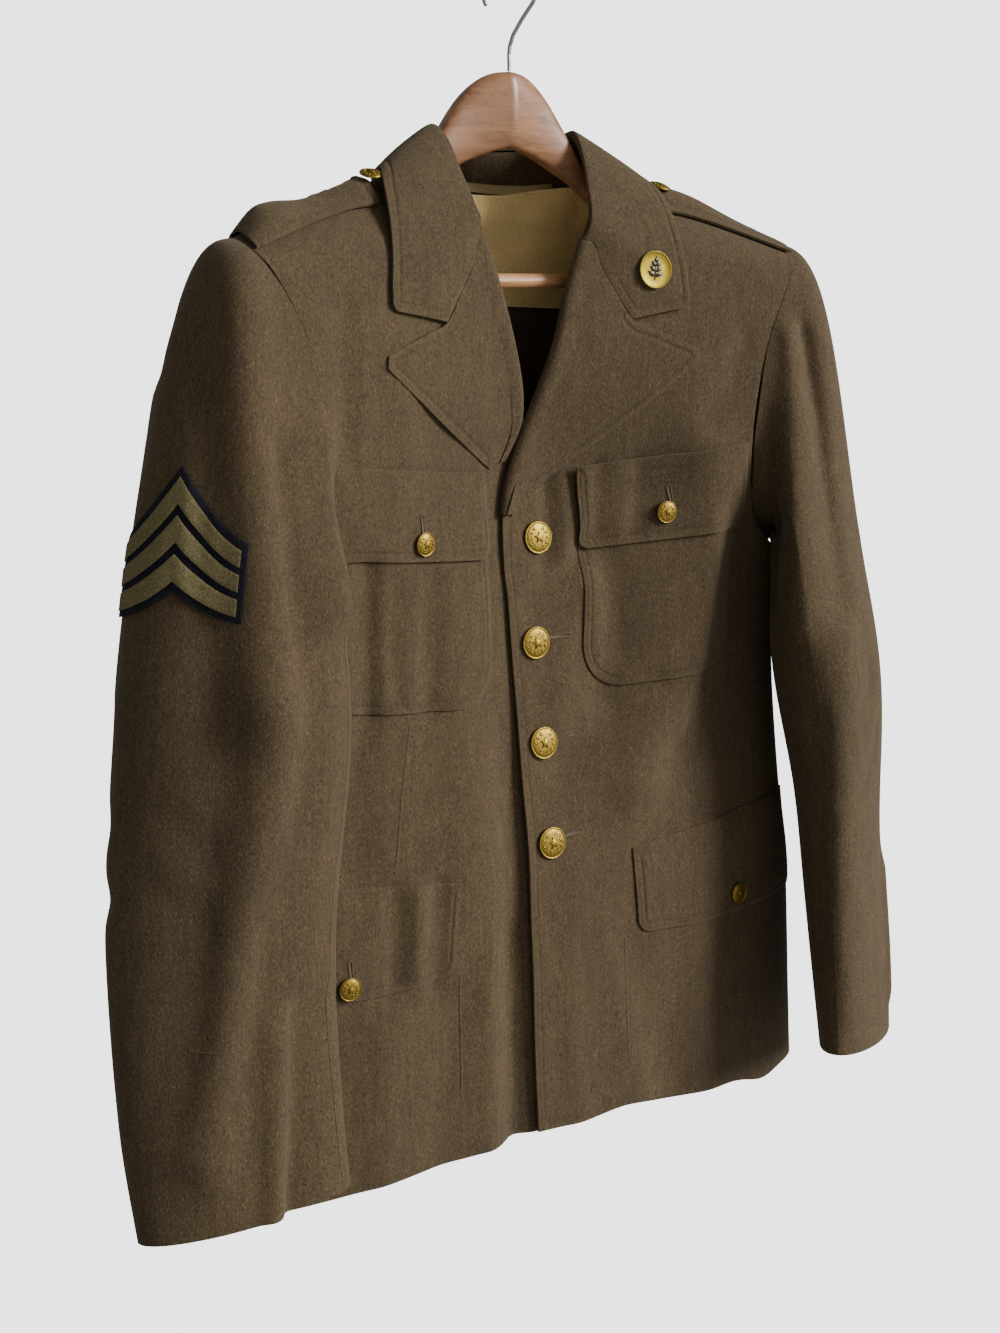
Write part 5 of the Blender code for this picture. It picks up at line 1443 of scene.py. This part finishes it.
SOFTENED = 0.25  # the share of a plate's rise over which its top edge is softened


def raised_plate(work, outline, height, rise, dome):
    """A plate with a softened top, from a flat outline, following a dome of the given radius and height."""
    face = flat_face(work, outline)
    pieces = set(face.verts)
    top = of_kind(bmesh.ops.extrude_face_region(work, geom=[face])["geom"], bmesh.types.BMFace)
    raised = list({vert for plate in top for vert in plate.verts})
    bmesh.ops.translate(work, verts=raised, vec=(0, 0, rise * (1 - SOFTENED)))
    inset = bmesh.ops.inset_region(work, faces=top, thickness=SOFTENED * rise, depth=SOFTENED * rise)
    pieces |= set(raised) | {vert for plate in [*top, *inset["faces"]] for vert in plate.verts}
    radius, crown = dome
    for vert in pieces:
        fall = (vert.co.x**2 + vert.co.y**2) / radius**2
        vert.co.z += height - crown * fall
    bmesh.ops.poke(work, faces=top)


def star_outline(radius):
    """The outline of a star of five points, with one straight up."""
    spots = []
    for k in range(10):
        reach = radius if k % 2 == 0 else 0.42 * radius
        angle = math.pi / 2 + k * math.pi / 5
        spots.append((reach * math.cos(angle), reach * math.sin(angle)))
    return spots


def leaf_outline(x, y, angle, length, width):
    """A pointed leaf with its foot at x, y."""
    spots = []
    run, rise = math.cos(angle), math.sin(angle)
    for along, out in ((0.0, 0.0), (0.3, 0.42), (0.6, 0.45), (1.0, 0.0), (0.6, -0.45), (0.3, -0.42)):
        u, v = along * length, out * width
        spots.append((x + u * run - v * rise, y + u * rise + v * run))
    return spots


LEAF_PAIRS = 5  # pairs of leaves on each spray of the wreath


def wreath(work, radius, leaf, height, rise, dome):
    """Two sprays of leaves that rise from the bottom and leave the top open."""
    for side in (1, -1):
        for k in range(LEAF_PAIRS):
            angle = -math.pi / 2 + side * (0.28 + 2.15 * k / (LEAF_PAIRS - 1))
            x, y = radius * math.cos(angle), radius * math.sin(angle)
            run = angle + side * math.pi / 2
            for spread in (0.55, -0.55):
                raised_plate(work, leaf_outline(x, y, run + spread, leaf, 0.42 * leaf), height, rise, dome)


def button_mesh(name, radius, rise):
    """A domed button with a rolled rim, and a star in a laurel wreath raised on it."""
    work = bmesh.new()
    field = 0.885 * radius
    profile = [(0.0, 0.0), (0.30 * radius, 0.0), (0.30 * radius, 0.22 * rise), (0.90 * radius, 0.26 * rise)]
    profile += arc((0.945 * radius, 0.43 * rise), (0.055 * radius, 0.15 * rise), -80, 121, 25)
    profile += arc((0.0, 0.46 * rise), (field, 0.34 * rise), 0, 90, 11)
    turned(work, profile + [(0.0, rise * 0.80)], 64)
    low = {face for face in work.faces if face.calc_center_median().xy.length < field}
    dome = (field, 0.34 * rise)
    top = 0.78 * rise
    raised_plate(work, star_outline(0.38 * radius), top, 0.22 * rise, dome)
    wreath(work, 0.62 * radius, 0.27 * radius, top, 0.17 * rise, dome)
    # the field is darker: partly antiqued gilt, partly painted shade round the relief
    for face in work.faces:
        face.material_index = 0 if face in low else 1
    return as_mesh(name, work)


# How each button sits: its turn in degrees, and how far the thread lets it lie across and up from its node.
Sitting = namedtuple("Sitting", "turn across up")
BUTTONS = {
    "front_button_1": Sitting(0, 0.0080, -0.0015),
    "front_button_2": Sitting(14, 0.0030, -0.0005),
    "front_button_3": Sitting(-9, 0.0040, -0.0008),
    "front_button_4": Sitting(11, 0.0045, -0.0013),
    "chest_button_left": Sitting(-4, 0.0025, 0.0050),
    "chest_button_right": Sitting(3, 0.0080, -0.0035),
    "lower_button_left": Sitting(6, 0.0060, 0.0006),
    "lower_button_right": Sitting(-7, 0.0080, -0.0042),
    "strap_button_left": Sitting(10, 0.0010, -0.0010),
    "strap_button_right": Sitting(-6, 0.0070, 0.0020),
}
UNDER_BUTTON = {"chest": "chest_flap", "lower": "lower_flap", "strap": "shoulder_strap"}
SEAT_REACH = 0.03  # how far out a button starts before it is brought to the cloth
SEAT_GAP = 0.0003


def under_button(name):
    """The piece that a button is sewn to or fastened over."""
    kind, _, hand = name.split("_")
    return "front_left" if kind == "front" else f"{UNDER_BUTTON[kind]}_{hand}"


class OBJECT_OT_tunic_buttons(TunicOperator, bpy.types.Operator):
    """Make the ten gilt buttons"""

    bl_idname = "object.tunic_buttons"
    bl_label = "Buttons"

    def execute(self, context):
        for name, sitting in BUTTONS.items():
            node = round_node(name)
            mesh = button_mesh(name + "_gilt", node.radius, node.rise)
            out = Vector(node.axis)
            start = Vector(node.base) + Vector((sitting.across, 0, sitting.up)) + out * SEAT_REACH
            place, _, _, _ = TREES[under_button(name)].ray_cast(start, -out)
            place = place or start - out * SEAT_REACH
            mesh.transform(standing_on(place + out * SEAT_GAP, node.axis, sitting.turn))
            finish_piece(name + "_gilt", mesh, ["gilt_field", "gilt"], [name], edge=0)
        return {"FINISHED"}


# ---------------------------------------------------------------- collar disk
DISK_TURN = -8  # degrees
SPRIG_BASE = 0.70  # height of the sprig's foot, as a share of the disk's rise
SPRIG_LEAF_RISE = 0.3  # how much its leaves rise above that, as the same share


def disk_mesh(radius, rise):
    """A low domed disk with a rolled rim."""
    work = bmesh.new()
    profile = [(0.0, 0.0), (0.95 * radius, 0.0)]
    profile += arc((0.955 * radius, 0.45 * rise), (0.045 * radius, 0.4 * rise), -70, 141, 30)
    profile += [(0.88 * radius, 0.52 * rise), (0.5 * radius, 0.66 * rise), (0.0, 0.72 * rise)]
    turned(work, profile, 72)
    return as_mesh("collar_disk_gilt", work)


def sprig_mesh(radius, rise):
    """A plain sprig: a stem, a leaf at its top and three pairs of leaves beside it."""
    work = bmesh.new()
    base, dome = SPRIG_BASE * rise, (radius, 0.15 * rise)
    stem = [(share * radius, height * radius) for share, height in
            ((0.03, -0.56), (0.05, 0.40), (-0.05, 0.40), (-0.03, -0.56))]
    raised_plate(work, stem, base, 0.18 * rise, dome)
    leaves = [leaf_outline(0, 0.34 * radius, math.pi / 2, 0.36 * radius, 0.26 * radius)]
    for k, height in enumerate((-0.36, -0.10, 0.16)):
        for side in (1, -1):
            turn = math.pi / 2 - side * math.radians(62 - 8 * k)
            leaves.append(leaf_outline(0, height * radius, turn, (0.52 - 0.07 * k) * radius, 0.24 * radius))
    for leaf in leaves:
        raised_plate(work, leaf, base, SPRIG_LEAF_RISE * rise, dome)
    return as_mesh("collar_disk_sprig", work)


class OBJECT_OT_tunic_disk(TunicOperator, bpy.types.Operator):
    """Make the collar disk with its silver sprig"""

    bl_idname = "object.tunic_disk"
    bl_label = "Collar disk"

    def execute(self, context):
        node = round_node("collar_disk")
        place = standing_on(node.base, node.axis, DISK_TURN)
        for mesh, material, replaced in ((disk_mesh(node.radius, node.rise), "gilt_disk", ["collar_disk"]),
                                         (sprig_mesh(node.radius, node.rise), "silver", [])):
            mesh.transform(place)
            finish_piece(mesh.name, mesh, [material], replaced, edge=0)
        return {"FINISHED"}


# ---------------------------------------------------------------- hanger
HANGER_SWEEP = 0.0060  # how far the arms sweep back beside the mitre, at most
HANGER_REACH = 0.075  # how far from the mitre that sweep ends
HANGER_ROUND = 0.0022  # radius of the arms' edges
HANGER_LEVEL = 2


class OBJECT_OT_tunic_hanger(TunicOperator, bpy.types.Operator):
    """Make the wooden hanger, its bar and its hook"""

    bl_idname = "object.tunic_hanger"
    bl_label = "Hanger"

    def execute(self, context):
        cage = node_cage("hanger_arms")
        crease = cage.edges.layers.float.new("crease_edge")
        for edge in cage.edges:
            at_mitre = all(abs(vert.co.x) < 1e-4 for vert in edge.verts)
            edge[crease] = 1.0 if at_mitre or sharp(edge) else 0.0
        fine = smoothed_through(as_mesh("hanger_wood", cage), HANGER_LEVEL)
        points = get_points(fine)
        share = np.clip(np.abs(points[:, 0]) / HANGER_REACH, 0, 1)
        points[:, 1] += HANGER_SWEEP * np.sin(math.pi * share)
        set_points(fine, points)
        finish_piece("hanger_wood", fine, ["hanger_wood"], ["hanger_arms"], edge=HANGER_ROUND)
        for node, material in (("trouser_bar", "bar_wood"), ("hanger_hook", "steel")):
            obj = frame["nodes"][node]
            obj.data.materials.clear()
            obj.data.materials.append(material_named(material))
            obj.data.shade_smooth()
        return {"FINISHED"}


# ---------------------------------------------------------------- stage
CAMERA_PLACE = (-0.799, -1.143, -0.2035)
CAMERA_TURN = (78.9, 0.0, -34.7)
CAMERA_LENS = 54.0

FLOOR_HEIGHT = -1.35
FLOOR_HALF_WIDTH = 9.0
FLOOR_NEAR = -7.0
FLOOR_DEPTH = 16.0
FLOOR_GREY = 0.40

# Soft lamps far away: the way to each, its power and how wide it looks, in degrees.
Lamp = namedtuple("Lamp", "way power spread")
LAMPS = {
    "sun": Lamp((0.715, -0.70, 0.42), 4.25, 22.0),
    "fill": Lamp((0.22, -0.97, 0.05), 0.60, 80.0),
}
WORLD_LIGHT = 0.25  # how strongly the surroundings light the tunic
WORLD_SHOWN = 3.0  # how bright the floor and the surroundings look behind it


def shown_apart(tree, lit, shown, output):
    """Lets the camera see one shader, and every other ray another."""
    sight, either = tree.nodes.new("ShaderNodeLightPath"), tree.nodes.new("ShaderNodeMixShader")
    tree.links.new(sight.outputs["Is Camera Ray"], either.inputs["Fac"])
    tree.links.new(lit.outputs[0], either.inputs[1])
    tree.links.new(shown.outputs[0], either.inputs[2])
    tree.links.new(either.outputs[0], tree.nodes[output].inputs["Surface"])


def make_floor():
    """A pale flat floor that looks evenly bright."""
    work = bmesh.new()
    ends = [work.verts.new((side * FLOOR_HALF_WIDTH, FLOOR_NEAR, FLOOR_HEIGHT)) for side in (-1, 1)]
    made = bmesh.ops.extrude_edge_only(work, edges=[work.edges.new(ends)])["geom"]
    bmesh.ops.translate(work, verts=of_kind(made, bmesh.types.BMVert), vec=(0, FLOOR_DEPTH, 0))
    floor = link_object("floor", as_mesh("floor", work))
    material = bpy.data.materials.new("floor")
    material.use_nodes = True
    tree = material.node_tree
    shader = tree.nodes["Principled BSDF"]
    shader.inputs["Base Color"].default_value = (FLOOR_GREY, FLOOR_GREY, FLOOR_GREY, 1)
    shader.inputs["Roughness"].default_value = 1.0
    even = tree.nodes.new("ShaderNodeEmission")
    even.inputs["Strength"].default_value = WORLD_SHOWN
    shown_apart(tree, shader, even, "Material Output")
    floor.data.materials.append(material)


def make_lights():
    """The two lamps and the even light all round."""
    for name, lamp in LAMPS.items():
        light = bpy.data.lights.new(name, "SUN")
        light.energy = lamp.power
        light.angle = math.radians(lamp.spread)
        link_object(name, light).rotation_euler = Vector(lamp.way).to_track_quat("Z", "Y").to_euler()
    world = bpy.data.worlds.new("studio")
    world.use_nodes = True
    lit, shown = world.node_tree.nodes["Background"], world.node_tree.nodes.new("ShaderNodeBackground")
    for background, strength in ((lit, WORLD_LIGHT), (shown, WORLD_SHOWN)):
        background.inputs["Color"].default_value = (1, 1, 1, 1)
        background.inputs["Strength"].default_value = strength
    shown_apart(world.node_tree, lit, shown, "World Output")
    bpy.context.scene.world = world


def make_camera():
    """The camera, before the wearer's right shoulder and turned a little down."""
    data = bpy.data.cameras.new("camera")
    data.lens = CAMERA_LENS
    camera = link_object("camera", data)
    camera.location = CAMERA_PLACE
    camera.rotation_euler = [math.radians(angle) for angle in CAMERA_TURN]
    bpy.context.scene.camera = camera


class OBJECT_OT_tunic_stage(TunicOperator, bpy.types.Operator):
    """Make the floor, the lights and the camera"""

    bl_idname = "object.tunic_stage"
    bl_label = "Stage"

    def execute(self, context):
        make_floor()
        make_lights()
        make_camera()
        return {"FINISHED"}


# ---------------------------------------------------------------- panel and registration
OPERATORS = (
    OBJECT_OT_tunic_body,
    OBJECT_OT_tunic_sleeves,
    OBJECT_OT_tunic_pockets,
    OBJECT_OT_tunic_collar,
    OBJECT_OT_tunic_straps,
    OBJECT_OT_tunic_chevrons,
    OBJECT_OT_tunic_neck,
    OBJECT_OT_tunic_buttons,
    OBJECT_OT_tunic_disk,
    OBJECT_OT_tunic_sewing,
    OBJECT_OT_tunic_hanger,
    OBJECT_OT_tunic_stage,
)


class VIEW3D_PT_tunic(bpy.types.Panel):
    """The sizes, the colours and a button for each operator, in the sidebar"""

    bl_idname = "VIEW3D_PT_tunic"
    bl_label = "Military dress tunic"
    bl_space_type = "VIEW_3D"
    bl_region_type = "UI"
    bl_category = "Tunic"

    def draw(self, context):
        for group in (context.scene.tunic_sizes, context.scene.tunic_colours):
            for name in group.__annotations__:
                self.layout.prop(group, name)
        for operator in OPERATORS:
            self.layout.operator(operator.bl_idname)


CLASSES = (TunicSizes, TunicColours, *OPERATORS, VIEW3D_PT_tunic)


def register():
    """Adds the tunic's classes and settings to Blender."""
    for item in CLASSES:
        bpy.utils.register_class(item)
    bpy.types.Scene.tunic_sizes = PointerProperty(type=TunicSizes)
    bpy.types.Scene.tunic_colours = PointerProperty(type=TunicColours)


def unregister():
    """Takes them out again."""
    del bpy.types.Scene.tunic_sizes
    del bpy.types.Scene.tunic_colours
    for item in reversed(CLASSES):
        bpy.utils.unregister_class(item)


def main():
    """Makes every piece and the stage."""
    for item in list(bpy.data.objects):
        if item.type in ("CAMERA", "LIGHT") or item.name == "Cube":
            bpy.data.objects.remove(item)
    register()
    for operator in OPERATORS:
        getattr(bpy.ops.object, operator.bl_idname.split(".")[1])()


if __name__ == "__main__":
    main()
